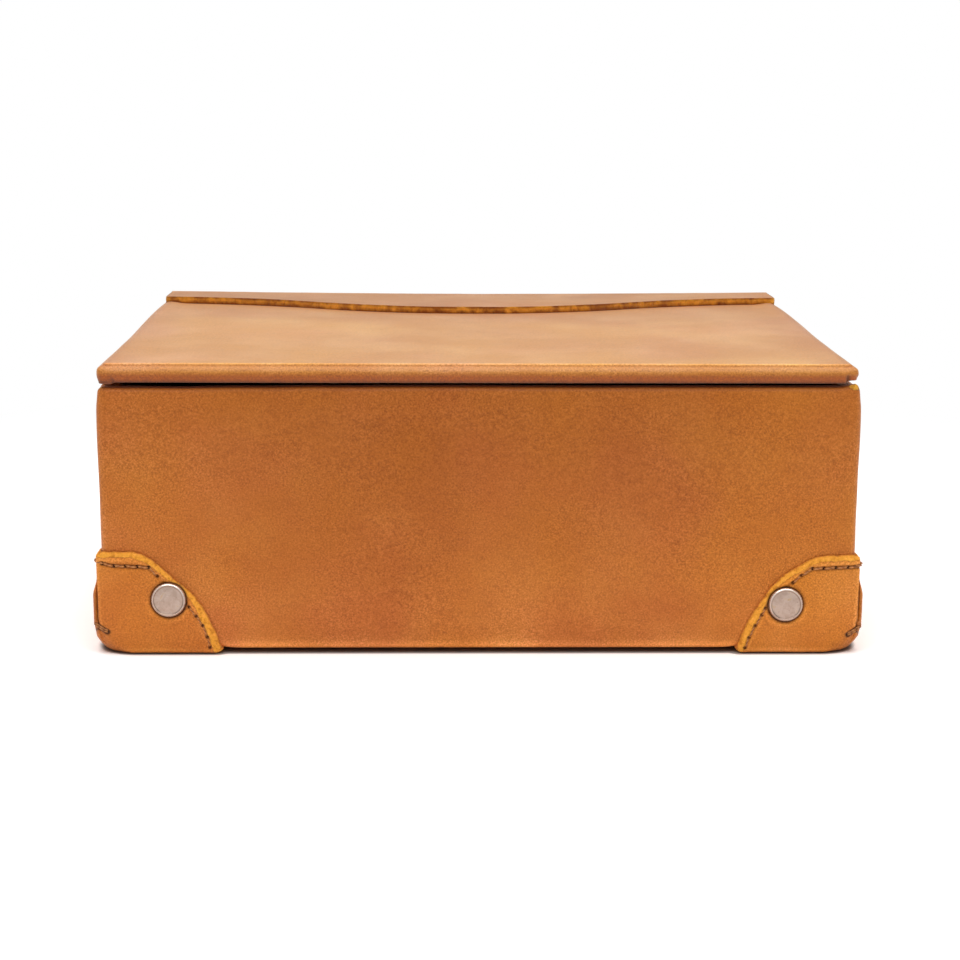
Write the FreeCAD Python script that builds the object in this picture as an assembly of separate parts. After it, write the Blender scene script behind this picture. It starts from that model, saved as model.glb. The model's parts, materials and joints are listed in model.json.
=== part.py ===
import FreeCAD, Part
import math
import os

# A leather-covered stationery box with a hinged lid.
# Millimetres. +X is the right-hand side, +Y the back, +Z up.
# The origin is on the table, under the middle of the box.

# Box body
body_width = 254.0          # over the side covers
body_depth = 206.0          # over the front and back covers
rim_height = 91.2           # top of the rim above the table
cover_leather = 1.8         # leather on the walls, the base and the lid
wall_board = 4.0            # core boards of the four walls
floor_board = 4.0           # core board of the floor
lining_card = 1.8           # suede-covered card inside
upright_round = 3.0         # upright corners of the body
base_round = 3.0            # lower edges of the body
rim_round = 2.0             # outer edge of the rim
rim_inner_round = 1.2       # inner edge of the rim
rim_turn_in = 14.0          # leather turned down inside the rim
base_turn_in = 14.0         # leather turned in under the base

# Lid
lid_inset_front = 0.8       # lid edge behind the body's front face
lid_inset_sides = 0.2       # lid edge inside the body's side faces
lid_gap = 0.7               # rim to lid
lid_board_thickness = 3.0
lid_corner_round = 3.0      # upright corners of the lid
lid_edge_round = 2.8        # upper and lower edges of the lid
lid_panel_clearance = 4.0   # inner panel of the lid to the inside of the rim
lid_panel_drop = 1.5        # inner panel below the turned-in leather

# Leather hinge strip
hinge_leather = 2.2
hinge_overhang = 0.6        # strip beyond each side of the lid
hinge_reach_ends = 24.0     # from the fold over the lid's rear edge, at the ends
hinge_reach_middle = 61.0   # the same, in the middle
hinge_fold_slit = 0.3       # between the two leaves, at the fold line

# Corner guards
guard_leather = 1.8
guard_height = 35.4         # top edge above the table
guard_top_run = 9.0         # straight part of the top edge
shoulder_radius = 14.0      # tight arc after the top edge
shoulder_sweep = 30.0       # degrees
flank_radius = 52.0         # wide arc down to the bottom edge
guard_edge_slant = 1.6      # raw edge set back at the face of the leather
guard_seam = 0.35           # cut between the front and the side flap
guard_seam_foot = 5.0       # where that cut starts above the table

# Rivets
rivet_radius = 5.8
rivet_rim = 0.5             # straight edge of the cap
rivet_height = 1.4          # crown of the cap above the leather
rivet_edge_distance = 7.7   # rivet axis to the guard's wide arc
rivet_direction = 42.0      # degrees, seen from that arc's centre
shank_radius = 1.6
inner_cap_radius = 5.0
inner_cap_thickness = 0.8

# Stitching
stitch_edge_distance = 4.5
stitch_pitch = 4.0
stitch_length = 3.1
thread_width = 0.9
thread_height = 0.5
stitch_foot = 1.5           # last stitch above the table
seam_thread_heights = (9.3, 30.9)   # threads that close the corner seam

X = FreeCAD.Vector(1, 0, 0)
Y = FreeCAD.Vector(0, 1, 0)
Z = FreeCAD.Vector(0, 0, 1)
ORIGIN = FreeCAD.Vector(0, 0, 0)

# Levels and faces that follow from the sizes above
half_width = body_width / 2
half_depth = body_depth / 2
body_bottom = guard_leather
core_bottom = body_bottom + cover_leather
core_top = rim_height - cover_leather
floor_top = core_bottom + floor_board
lining_bottom = floor_top + lining_card
lining_top = rim_height - rim_turn_in
board_depth = cover_leather + wall_board
inside_depth = board_depth + max(cover_leather, lining_card)

lid_bottom = rim_height + lid_gap
lid_thickness = lid_board_thickness + 2 * cover_leather
lid_top = lid_bottom + lid_thickness
lid_half_width = half_width - lid_inset_sides
lid_front = -half_depth + lid_inset_front
lid_back = half_depth
panel_half_width = half_width - inside_depth - lid_panel_clearance
panel_half_depth = half_depth - inside_depth - lid_panel_clearance

fold_height = rim_height + lid_gap / 2
hinge_half_width = lid_half_width + hinge_overhang

shoulder_angle = math.radians(shoulder_sweep)
shoulder_centre = (guard_top_run, guard_height - shoulder_radius)
flank_centre = (
    shoulder_centre[0] - (flank_radius - shoulder_radius) * math.sin(shoulder_angle),
    shoulder_centre[1] - (flank_radius - shoulder_radius) * math.cos(shoulder_angle),
)
guard_reach = flank_centre[0] + math.sqrt(flank_radius ** 2 - flank_centre[1] ** 2)
rivet_arm = flank_radius - rivet_edge_distance
rivet_u = flank_centre[0] + rivet_arm * math.cos(math.radians(rivet_direction))
rivet_z = flank_centre[1] + rivet_arm * math.sin(math.radians(rivet_direction))


def box(x_range, y_range, z_range):
    """Solid box between two limits on each axis."""
    size = [high - low for low, high in (x_range, y_range, z_range)]
    low_corner = FreeCAD.Vector(x_range[0], y_range[0], z_range[0])
    return Part.makeBox(size[0], size[1], size[2], low_corner)


def body_block(inset, z_range):
    """Box set in by the same distance from the four faces of the body."""
    half_x = half_width - inset
    half_y = half_depth - inset
    return box((-half_x, half_x), (-half_y, half_y), z_range)


def upright_edges(shape):
    """Edges that rise from one level to another."""
    return [e for e in shape.Edges if e.BoundBox.ZLength > 1e-3]


def level_edges(shape, height):
    """Edges that lie at one height."""
    def at_height(edge):
        bounds = edge.BoundBox
        return abs(bounds.ZMin - height) < 1e-3 and abs(bounds.ZMax - height) < 1e-3
    return [e for e in shape.Edges if at_height(e)]


def rounded_body_block(inset, z_range):
    """Body block with round upright corners and round lower edges."""
    block = body_block(inset, z_range)
    block = block.makeFillet(upright_round - inset, upright_edges(block))
    return block.makeFillet(base_round - inset, level_edges(block, z_range[0]))


def extrude(outline, direction):
    """Prism on a closed outline of connected edges."""
    return Part.Face(Part.Wire(outline)).extrude(direction)


def save(name, shape):
    shape.exportStep(os.path.join("parts", name + ".step"))


# ---- rivets ----

def rivet_axis_solids(outer_radius, low, high):
    """Cylinder on the front-left guard's rivet axis, from low to high in front of the wall."""
    base = FreeCAD.Vector(-half_width + rivet_u, -half_depth - low, rivet_z)
    return Part.makeCylinder(outer_radius, high - low, base, -Y)


def across_corner(shape):
    """The same thing on the side flap: reflection across the corner's diagonal plane."""
    corner = FreeCAD.Vector(-half_width, -half_depth, 0)
    return shape.mirror(corner, X - Y)


def corner_copies(shape):
    """One copy of a front-left shape for each corner of the box."""
    front_right = shape.mirror(ORIGIN, X)
    return {
        "front_left": shape,
        "front_right": front_right,
        "back_left": shape.mirror(ORIGIN, Y),
        "back_right": front_right.mirror(ORIGIN, Y),
    }


def at_all_rivets(shape):
    """Copies of a front-left front-flap shape at all eight rivets."""
    return [
        copy
        for one in (shape, across_corner(shape))
        for copy in corner_copies(one).values()
    ]


def rivet_cap():
    """Domed cap: a spherical crown on a short straight edge."""
    crown = rivet_height - rivet_rim
    sphere_radius = (rivet_radius ** 2 + crown ** 2) / (2 * crown)
    face_y = -half_depth - guard_leather
    centre = FreeCAD.Vector(-half_width + rivet_u, face_y - rivet_height + sphere_radius, rivet_z)
    # The disc is longer than the cap, so that its end doesn't touch the sphere
    disc = rivet_axis_solids(rivet_radius, guard_leather, guard_leather + 2 * rivet_height)
    return disc.common(Part.makeSphere(sphere_radius, centre))


def rivet_post():
    """Shank through leather and board, with the inner cap let into the board's inner face."""
    shank = rivet_axis_solids(shank_radius, -board_depth, guard_leather)
    inner_cap = rivet_axis_solids(inner_cap_radius, -board_depth, -board_depth + inner_cap_thickness)
    return shank.fuse(inner_cap).removeSplitter()


def make_rivets():
    save("rivet_caps", Part.makeCompound(at_all_rivets(rivet_cap())))
    posts = at_all_rivets(rivet_post())
    save("rivet_posts", Part.makeCompound(posts))
    return posts


# ---- corner guards ----

def arc_point(centre, radius, angle):
    return (centre[0] + radius * math.cos(angle), centre[1] + radius * math.sin(angle))


def flap_end_angle(inset, height):
    """Where the wide arc, moved in by inset, comes down to a height."""
    return math.asin((height - flank_centre[1]) / (flank_radius - inset))


def flap_outline(inset, low_u, y):
    """Closed outline of the front flap on the front-left corner, at one depth y.

    The free edge is moved in by inset; low_u is the outline's limit beside the corner.
    """
    low_z = -guard_leather - 1
    start = math.pi / 2 - shoulder_angle
    end = flap_end_angle(inset, low_z)
    top = guard_height - inset

    def corner_point(u, z):
        return FreeCAD.Vector(-half_width + u, y, z)

    def arc(centre, radius, first, last):
        angles = (first, (first + last) / 2, last)
        return Part.Arc(*[corner_point(*arc_point(centre, radius, a)) for a in angles]).toShape()

    foot = corner_point(*arc_point(flank_centre, flank_radius - inset, end))
    return Part.Wire([
        Part.makeLine(corner_point(low_u, low_z), corner_point(low_u, top)),
        Part.makeLine(corner_point(low_u, top), corner_point(guard_top_run, top)),
        arc(shoulder_centre, shoulder_radius - inset, math.pi / 2, start),
        arc(flank_centre, flank_radius - inset, start, end),
        Part.makeLine(foot, corner_point(low_u, low_z)),
    ])


def flap_prism(depth):
    """Front flap as a prism: slanted raw edge in the leather, straight sides in the wall."""
    beside_corner = -guard_leather - 1
    face_y = -half_depth - guard_leather
    at_wall = flap_outline(0, beside_corner, -half_depth)
    at_face = flap_outline(guard_edge_slant, beside_corner, face_y)
    slanted = Part.makeLoft([at_face, at_wall], True, True)
    in_wall = Part.Face(flap_outline(0, 0, -half_depth)).extrude(Y * depth)
    return slanted.fuse(in_wall)


def guard():
    """Front-left corner guard: one piece of leather in three flaps round the box's corner."""
    outer = rounded_body_block(-guard_leather, (0, guard_height + 1))
    inner = rounded_body_block(0, (body_bottom, guard_height + 2))
    fold = max(upright_round, base_round)
    front_flap = flap_prism(fold)
    side_flap = across_corner(front_flap)
    corner = FreeCAD.Vector(-half_width, -half_depth, 0)
    bottom_flap = Part.makeCone(guard_reach - guard_edge_slant, guard_reach, guard_leather,
                                corner, Z, 90)
    seam = box((-guard_seam / 2, guard_seam / 2), (-2 * (fold + guard_leather), 0),
               (guard_seam_foot, guard_height + 1))
    seam.rotate(ORIGIN, Z, -45)
    seam.translate(FreeCAD.Vector(-half_width + fold, -half_depth + fold, 0))
    shell = outer.cut(inner)
    flaps = front_flap.fuse([side_flap, bottom_flap])
    rivet_hole = rivet_axis_solids(shank_radius, -1, guard_leather + 1)
    return shell.common(flaps).cut([seam, rivet_hole, across_corner(rivet_hole)])


def stitch():
    """One stitch lying on the plane of the front flaps, centred on X and Z, along +X."""
    face_y = -half_depth - guard_leather
    solid = box((-stitch_length / 2, stitch_length / 2), (face_y - thread_height, face_y),
                (-thread_width / 2, thread_width / 2))
    outer_edges = [e for e in solid.Edges if e.BoundBox.YMax < face_y - thread_height / 2]
    return solid.makeFillet(thread_height / 2, outer_edges)


def stitch_line():
    """Places of the stitches on the front flap: along the top edge, then both arcs."""
    start = math.pi / 2 - shoulder_angle
    shoulder = shoulder_radius - stitch_edge_distance
    flank = flank_radius - stitch_edge_distance
    end = flap_end_angle(stitch_edge_distance, stitch_foot)
    top_length = guard_top_run
    shoulder_length = shoulder * shoulder_angle
    total = top_length + shoulder_length + flank * (start - end)
    places = []
    along = upright_round / 2 + stitch_pitch / 2
    while along < total:
        if along < top_length:
            place = (along, guard_height - stitch_edge_distance, math.pi / 2)
        elif along < top_length + shoulder_length:
            angle = math.pi / 2 - (along - top_length) / shoulder
            place = arc_point(shoulder_centre, shoulder, angle) + (angle,)
        else:
            angle = start - (along - top_length - shoulder_length) / flank
            place = arc_point(flank_centre, flank, angle) + (angle,)
        places.append(place)
        along += stitch_pitch
    hidden = rivet_radius + stitch_length / 2
    return [p for p in places if math.hypot(p[0] - rivet_u, p[1] - rivet_z) > hidden]


def seam_thread(height):
    """Thread round the upright corner, across the seam between the two flaps."""
    radius = upright_round + guard_leather
    centre = FreeCAD.Vector(-half_width + upright_round, -half_depth + upright_round,
                            height - thread_width / 2)
    outer = Part.makeCylinder(radius + thread_height, thread_width, centre, Z, 90)
    ring = outer.cut(Part.makeCylinder(radius, thread_width, centre, Z, 90))
    ring.rotate(centre, Z, 180)
    return ring


def guard_thread():
    one_stitch = stitch()
    flap_stitches = []
    for u, z, angle in stitch_line():
        copy = one_stitch.copy()
        copy.rotate(ORIGIN, Y, 90 - math.degrees(angle))
        copy.translate(FreeCAD.Vector(-half_width + u, 0, z))
        flap_stitches.append(copy)
    side_stitches = [across_corner(s) for s in flap_stitches]
    seam_threads = [seam_thread(height) for height in seam_thread_heights]
    return Part.makeCompound(flap_stitches + side_stitches + seam_threads)


def make_guards():
    for corner, shape in corner_copies(guard()).items():
        save("guard_" + corner, shape)
    for corner, shape in corner_copies(guard_thread()).items():
        save("thread_" + corner, shape)


# ---- box body ----

def make_body(posts):
    shank_holes = at_all_rivets(rivet_axis_solids(shank_radius, -board_depth - 1, guard_leather))
    core = rounded_body_block(cover_leather, (core_bottom, core_top))
    shell = rounded_body_block(0, (body_bottom, rim_height))
    shell = shell.makeFillet(rim_round, level_edges(shell, rim_height))
    turn_in = body_block(board_depth, (lining_top, rim_height))
    opening = body_block(board_depth + cover_leather, (lining_top - 1, rim_height + 1))
    base_window = body_block(base_turn_in, (body_bottom - 1, core_bottom + 1))
    cover = shell.cut(core).fuse(turn_in).cut([opening, base_window])
    cover = cover.removeSplitter()
    inner_limit = half_width - board_depth
    inner_rim = [e for e in level_edges(cover, rim_height) if abs(e.BoundBox.XMax) < inner_limit]
    cover = cover.makeFillet(rim_inner_round, inner_rim)
    save("wall_cover", cover.cut(shank_holes))
    save("base_cover", body_block(base_turn_in, (body_bottom, core_bottom)))

    inner_x = half_width - board_depth
    inner_y = half_depth - board_depth
    z_range = (core_bottom, core_top)
    slabs = {
        "board_front": box((-half_width, half_width), (-half_depth, -inner_y), z_range),
        "board_back": box((-half_width, half_width), (inner_y, half_depth), z_range),
        "board_left": box((-half_width, -inner_x), (-inner_y, inner_y), z_range),
        "board_right": box((inner_x, half_width), (-inner_y, inner_y), z_range),
    }
    for name, slab in slabs.items():
        save(name, core.common(slab).cut(posts))
    save("board_floor", body_block(board_depth, (core_bottom, floor_top)))


def make_linings():
    outer_x = half_width - board_depth
    outer_y = half_depth - board_depth
    inner_x = outer_x - lining_card
    inner_y = outer_y - lining_card
    z_range = (lining_bottom, lining_top)
    save("lining_floor", body_block(board_depth, (floor_top, lining_bottom)))
    save("lining_front", box((-outer_x, outer_x), (-outer_y, -inner_y), z_range))
    save("lining_back", box((-outer_x, outer_x), (inner_y, outer_y), z_range))
    save("lining_left", box((-outer_x, -inner_x), (-inner_y, inner_y), z_range))
    save("lining_right", box((inner_x, outer_x), (-inner_y, inner_y), z_range))


# ---- lid ----

def lid_slab(inset, corner, edge):
    """Lid plate set in from its outer faces, with round corners and edges."""
    slab = box((-lid_half_width + inset, lid_half_width - inset),
               (lid_front + inset, lid_back - inset),
               (lid_bottom + inset, lid_top - inset))
    slab = slab.makeFillet(corner, upright_edges(slab))
    flat_edges = level_edges(slab, lid_bottom + inset) + level_edges(slab, lid_top - inset)
    return slab.makeFillet(edge, flat_edges)


def make_lid():
    outer = lid_slab(0, lid_corner_round, lid_edge_round)
    board = lid_slab(cover_leather, lid_corner_round - cover_leather,
                     lid_edge_round - cover_leather)
    board_bottom = lid_bottom + cover_leather
    panel_x = (-panel_half_width, panel_half_width)
    panel_y = (-panel_half_depth, panel_half_depth)
    window = box(panel_x, panel_y, (lid_bottom - 1, board_bottom))
    save("lid_board", board)
    save("lid_cover", outer.cut([board, window]))
    save("lid_lining", box(panel_x, panel_y, (lid_bottom - lid_panel_drop, board_bottom)))


# ---- leather hinge strip ----

def hinge_edge_curve(to_point):
    """Free edge of the strip: two tangent arcs each side, lowest in the middle.

    to_point turns (x, distance from the rear top edge) into a 3-D point.
    """
    half = hinge_half_width
    rise = hinge_reach_middle - hinge_reach_ends
    radius = (half ** 2 + rise ** 2) / (4 * rise)
    half_turn = math.asin(half / 2 / radius) / 2
    mid_reach = (hinge_reach_middle + hinge_reach_ends) / 2
    quarter_x = radius * math.sin(half_turn)
    quarter_rise = radius * (1 - math.cos(half_turn))

    def arc(points):
        return Part.Arc(*[to_point(x, reach) for x, reach in points]).toShape()

    outer_left = [(-half, hinge_reach_ends),
                  (-half + quarter_x, hinge_reach_ends + quarter_rise),
                  (-half / 2, mid_reach)]
    inner_left = [(-half / 2, mid_reach),
                  (-quarter_x, hinge_reach_middle - quarter_rise),
                  (0, hinge_reach_middle)]
    inner_right = [(-x, reach) for x, reach in reversed(inner_left)]
    outer_right = [(-x, reach) for x, reach in reversed(outer_left)]
    return [arc(points) for points in (outer_left, inner_left, inner_right, outer_right)]


def hinge_outline(to_point, far_reach):
    """Closed outline from the free edge back to a straight line at far_reach."""
    left = to_point(-hinge_half_width, far_reach)
    right = to_point(hinge_half_width, far_reach)
    return hinge_edge_curve(to_point) + [
        Part.makeLine(to_point(hinge_half_width, hinge_reach_ends), right),
        Part.makeLine(right, left),
        Part.makeLine(left, to_point(-hinge_half_width, hinge_reach_ends)),
    ]


def hinge_leaf_lid():
    """Upper leaf: lies on the lid and bends down over its rear edge to the fold line."""
    outer_y = lid_back + hinge_leather
    outer_z = lid_top + hinge_leather
    low = fold_height + hinge_fold_slit / 2
    centre = (lid_back - lid_edge_round, lid_top - lid_edge_round)
    front = lid_back - hinge_reach_middle - 1

    def point(y, z):
        return FreeCAD.Vector(-hinge_half_width, y, z)

    def bend(radius):
        angles = (math.pi / 2, math.pi / 4, 0)
        return Part.Arc(*[point(*arc_point(centre, radius, a)) for a in angles]).toShape()

    section = [
        Part.makeLine(point(front, lid_top), point(front, outer_z)),
        Part.makeLine(point(front, outer_z), point(centre[0], outer_z)),
        bend(lid_edge_round + hinge_leather),
        Part.makeLine(point(outer_y, centre[1]), point(outer_y, low)),
        Part.makeLine(point(outer_y, low), point(lid_back, low)),
        Part.makeLine(point(lid_back, low), point(lid_back, centre[1])),
        bend(lid_edge_round),
        Part.makeLine(point(centre[0], lid_top), point(front, lid_top)),
    ]
    strip = extrude(section, X * (2 * hinge_half_width))
    outline = hinge_outline(
        lambda x, reach: FreeCAD.Vector(x, lid_back - reach, low - 1), -hinge_leather - 1)
    return strip.common(extrude(outline, Z * (outer_z - low + 2)))


def hinge_leaf_back():
    """Lower leaf: flat on the back wall, with the same free edge."""
    high = fold_height - hinge_fold_slit / 2
    outline = hinge_outline(
        lambda x, reach: FreeCAD.Vector(x, half_depth, lid_top - reach), lid_top - high)
    return extrude(outline, Y * hinge_leather)


os.makedirs("parts", exist_ok=True)
make_body(make_rivets())
make_linings()
make_guards()
make_lid()
save("hinge_leaf_lid", hinge_leaf_lid())
save("hinge_leaf_back", hinge_leaf_back())
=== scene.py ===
import functools
import json
import math

import bmesh
import bpy
import numpy as np
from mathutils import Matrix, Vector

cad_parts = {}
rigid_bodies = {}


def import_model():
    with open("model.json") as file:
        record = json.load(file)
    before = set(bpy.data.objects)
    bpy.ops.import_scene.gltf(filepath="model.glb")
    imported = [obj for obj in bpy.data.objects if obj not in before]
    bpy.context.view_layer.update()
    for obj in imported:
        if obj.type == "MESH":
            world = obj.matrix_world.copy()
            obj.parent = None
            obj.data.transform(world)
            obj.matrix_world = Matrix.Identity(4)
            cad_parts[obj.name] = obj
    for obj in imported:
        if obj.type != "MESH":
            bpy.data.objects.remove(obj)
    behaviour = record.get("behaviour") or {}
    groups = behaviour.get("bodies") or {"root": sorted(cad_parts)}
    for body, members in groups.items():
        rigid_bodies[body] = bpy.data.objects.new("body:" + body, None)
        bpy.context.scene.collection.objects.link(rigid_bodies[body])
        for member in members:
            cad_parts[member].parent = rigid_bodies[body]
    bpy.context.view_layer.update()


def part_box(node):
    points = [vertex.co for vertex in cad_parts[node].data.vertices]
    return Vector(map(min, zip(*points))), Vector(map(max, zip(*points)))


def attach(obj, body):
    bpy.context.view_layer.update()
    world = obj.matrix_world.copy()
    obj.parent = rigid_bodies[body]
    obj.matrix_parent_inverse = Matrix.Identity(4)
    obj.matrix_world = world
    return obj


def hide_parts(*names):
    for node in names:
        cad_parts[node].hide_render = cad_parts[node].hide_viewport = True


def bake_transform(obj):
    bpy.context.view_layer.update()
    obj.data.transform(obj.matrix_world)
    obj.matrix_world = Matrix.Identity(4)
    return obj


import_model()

import openvdb
from mathutils import Matrix, Vector

# Leather-covered stationery box. Lengths below are millimetres; MM turns them into metres.
MM = 0.001


# ---- sizes taken from the frame ----

def node_box(name):
    """Lowest and highest corner of a CAD node, in millimetres."""
    low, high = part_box(name)
    return np.array(low) / MM, np.array(high) / MM


wall_low, wall_high = node_box("wall_cover")
board_low, board_high = node_box("board_front")
guard_low, guard_high = node_box("guard_front_left")
lid_low, lid_high = node_box("lid_cover")
panel_low, panel_high = node_box("lid_lining")
strip_low, strip_high = node_box("hinge_leaf_lid")

half_width, half_depth, wall_top = wall_high
body_bottom = wall_low[2]
rim_height = wall_top - 0.35  # the leather settles a little under the rim
cover_leather = half_width - board_high[0]
board_depth = cover_leather + board_high[1] - board_low[1]
lining_top = node_box("lining_front")[1][2]
lid_board_bottom = node_box("lid_board")[0][2]
guard_leather = wall_low[0] - guard_low[0]
guard_height = guard_high[2]
guard_reach = guard_high[0] + half_width
hinge_leather = strip_high[2] - lid_high[2]

# Sizes that the frame's boxes don't give
upright_round = 3.0
base_round = 3.0
rim_round = 2.2
rim_inner_round = 1.2
inner_corner_round = 0.4
base_turn_in = 14.0
body_vertex_round = 5.2
rim_vertex_round = 2.2
lid_edge_round = 2.8
lid_corner_round = 2.2

# Free edge of the guards: a straight top, a tight arc and a wide arc
guard_top_run = 9.0
shoulder_radius = 14.0
shoulder_angle = math.radians(30)
flank_radius = 52.0
shoulder_centre = (guard_top_run, guard_height - shoulder_radius)
flank_centre = (
    shoulder_centre[0] - (flank_radius - shoulder_radius) * math.sin(shoulder_angle),
    shoulder_centre[1] - (flank_radius - shoulder_radius) * math.cos(shoulder_angle),
)
rivet_radius = 5.8
rivet_arm = flank_radius - 7.7
rivet_angle = math.radians(42)
rivet_u = flank_centre[0] + rivet_arm * math.cos(rivet_angle)
rivet_z = flank_centre[1] + rivet_arm * math.sin(rivet_angle)


# ---- numbers ----

def ramp(low, high, value):
    """Rises softly from 0 at low to 1 at high, whichever of the two is the larger."""
    share = np.clip((value - low) / (high - low), 0.0, 1.0)
    return share * share * (3 - 2 * share)


def bump_at(value, centre, width):
    """1 at the centre and falling to 0 on both sides of it."""
    return np.exp(-((value - centre) / width) ** 2)


def most(*values):
    """Largest of several values at each point."""
    return functools.reduce(np.maximum, values)


def least(*values):
    """Smallest of several values at each point."""
    return functools.reduce(np.minimum, values)


def noise_at(x, y, z, cell, seed):
    """Smooth noise from -1 to 1 on a lattice of one cell size."""
    lattice_size = 32
    lattice = np.random.RandomState(seed).uniform(-1, 1, (lattice_size,) * 3)
    scaled = [np.asarray(c, float) / cell for c in (x, y, z)]
    base = [np.floor(c).astype(int) for c in scaled]
    shares = [ramp(0, 1, c - b) for c, b in zip(scaled, base)]
    total = 0.0
    for corner in range(8):
        steps = (corner & 1, (corner >> 1) & 1, corner >> 2)
        index = tuple((b + step) % lattice_size for b, step in zip(base, steps))
        weight = 1.0
        for share, step in zip(shares, steps):
            weight = weight * (share if step else 1 - share)
        total = total + weight * lattice[index]
    return total


# ---- meshes ----

def add_object(name, data):
    obj = bpy.data.objects.new(name, data)
    bpy.context.scene.collection.objects.link(obj)
    return obj


def make_object(name, points, faces, attributes, weld=0.002):
    """Smooth closed mesh from points in millimetres, with those closer than weld joined.

    attributes maps a name to one number or one vector for each point.
    """
    mesh = bpy.data.meshes.new(name)
    mesh.from_pydata((np.asarray(points) * MM).tolist(), [], faces)
    for key, values in attributes.items():
        values = np.asarray(values, np.float32)
        kind, field = ("FLOAT", "value") if values.ndim == 1 else ("FLOAT_VECTOR", "vector")
        mesh.attributes.new(key, kind, "POINT").data.foreach_set(field, values.ravel())
    mesh.validate()
    mesh.shade_smooth()
    work = bmesh.new()
    work.from_mesh(mesh)
    bmesh.ops.remove_doubles(work, verts=work.verts, dist=weld * MM)
    bmesh.ops.dissolve_degenerate(work, edges=work.edges, dist=weld * MM / 4)
    bmesh.ops.recalc_face_normals(work, faces=work.faces)
    work.to_mesh(mesh)
    work.free()
    return add_object(name, mesh)


def dress(obj, body, material, node):
    """Material and body of a piece; hides the CAD node it replaces."""
    obj.data.materials.append(material)
    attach(obj, body)
    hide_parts(node)


def ring_faces(first, second):
    """Faces between two closed rings, each given by the indexes of its points."""
    return np.stack([first, np.roll(first, -1), np.roll(second, -1), second], 1).tolist()


def grid_faces(index):
    """Faces between the points of a grid of indexes."""
    corners = [index[:-1, :-1], index[1:, :-1], index[1:, 1:], index[:-1, 1:]]
    return np.stack(corners, -1).reshape(-1, 4).tolist()


def stack_rings(rings, closed=False, offset=0):
    """Points and faces of a surface through rings of equal length. offset is the first index."""
    index = offset + np.arange(len(rings) * len(rings[0])).reshape(len(rings), -1)
    following = np.roll(index, -1, 0) if closed else index[1:]
    faces = []
    for first, second in zip(index, following):
        faces += ring_faces(first, second)
    return np.concatenate(rings), faces


# ---- node trees ----

def tone(*display):
    """Linear colour from three display values of 0-255."""
    shares = [value / 255 for value in display]
    linear = [s / 12.92 if s <= 0.04045 else ((s + 0.055) / 1.055) ** 2.4 for s in shares]
    return (*linear, 1.0)


class Nodes:
    """Short ways to add and link the shader nodes of one material or world."""

    def __init__(self, owner):
        self.owner = owner
        owner.use_nodes = True
        self.tree = owner.node_tree
        self.place = None

    def connect(self, socket, value):
        if isinstance(value, bpy.types.NodeSocket):
            self.tree.links.new(value, socket)
        else:
            socket.default_value = value

    def add(self, kind, output, inputs=None, **settings):
        """One output of a new node. inputs maps an input's name or number to its value."""
        node = self.tree.nodes.new("ShaderNode" + kind)
        for name, value in settings.items():
            setattr(node, name, value)
        for key, value in (inputs or {}).items():
            self.connect(node.inputs[key], value)
        return node.outputs[output]

    def attribute(self, name, output="Fac"):
        return self.add("Attribute", output, attribute_name=name)

    def moved(self, operation, amounts):
        """The place with an amount multiplied with or added to each coordinate."""
        return self.add("VectorMath", "Vector", {0: self.place, 1: amounts}, operation=operation)

    def noise(self, cell, detail=2.0, roughness=0.5, distortion=0.0, place=None):
        """Noise value from 0 to 1. cell is the size of its spots in millimetres."""
        return self.add("TexNoise", "Fac", {
            "Vector": place or self.place, "Scale": 1 / (cell * MM), "Detail": detail,
            "Roughness": roughness, "Distortion": distortion})

    def cells(self, cell, smoothness):
        """Distance from the middle of soft-edged cells of a size in millimetres."""
        return self.add("TexVoronoi", "Distance", {
            "Vector": self.place, "Scale": 1 / (cell * MM), "Smoothness": smoothness},
            feature="SMOOTH_F1")

    def math(self, operation, first, second=0.0, clamp=False):
        return self.add("Math", 0, {0: first, 1: second}, operation=operation, use_clamp=clamp)

    def remap(self, value, low, high, to_low=0.0, to_high=1.0):
        return self.add("MapRange", "Result", {
            "Value": value, "From Min": low, "From Max": high, "To Min": to_low,
            "To Max": to_high}, interpolation_type="SMOOTHSTEP")

    def mix(self, factor, first, second, blend="MIX"):
        return self.add("Mix", "Result", {"Factor": factor, "A": first, "B": second},
                        data_type="RGBA", blend_type=blend)

    def tinted(self, color, red, green, blue):
        return self.mix(1.0, color, (red, green, blue, 1.0), "MULTIPLY")

    def layers(self, color, *layers):
        """Colour with others laid over it, each by its own factor."""
        for factor, over in layers:
            color = self.mix(factor, color, over)
        return color

    def bump(self, height, depth, under=None):
        """Bump of a depth in millimetres, over another one."""
        inputs = {"Strength": 1.0, "Distance": depth * MM, "Height": height}
        if under is not None:
            inputs["Normal"] = under
        return self.add("Bump", "Normal", inputs)

    def finish(self, color, roughness, normal, **values):
        """The finished material, with values for more inputs of its shader."""
        inputs = {"Base Color": color, "Roughness": roughness, "Normal": normal}
        inputs.update((name.replace("_", " "), value) for name, value in values.items())
        for name, value in inputs.items():
            self.connect(self.tree.nodes["Principled BSDF"].inputs[name], value)
        return self.owner

    def show(self, shader):
        """Makes a shader the surface of the material or world."""
        for node in self.tree.nodes:
            if node.bl_idname in ("ShaderNodeOutputMaterial", "ShaderNodeOutputWorld"):
                self.connect(node.inputs["Surface"], shader)


def material_nodes(name):
    n = Nodes(bpy.data.materials.new(name))
    n.place = n.add("TexCoord", "Object")
    return n


# ---- materials ----

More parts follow.
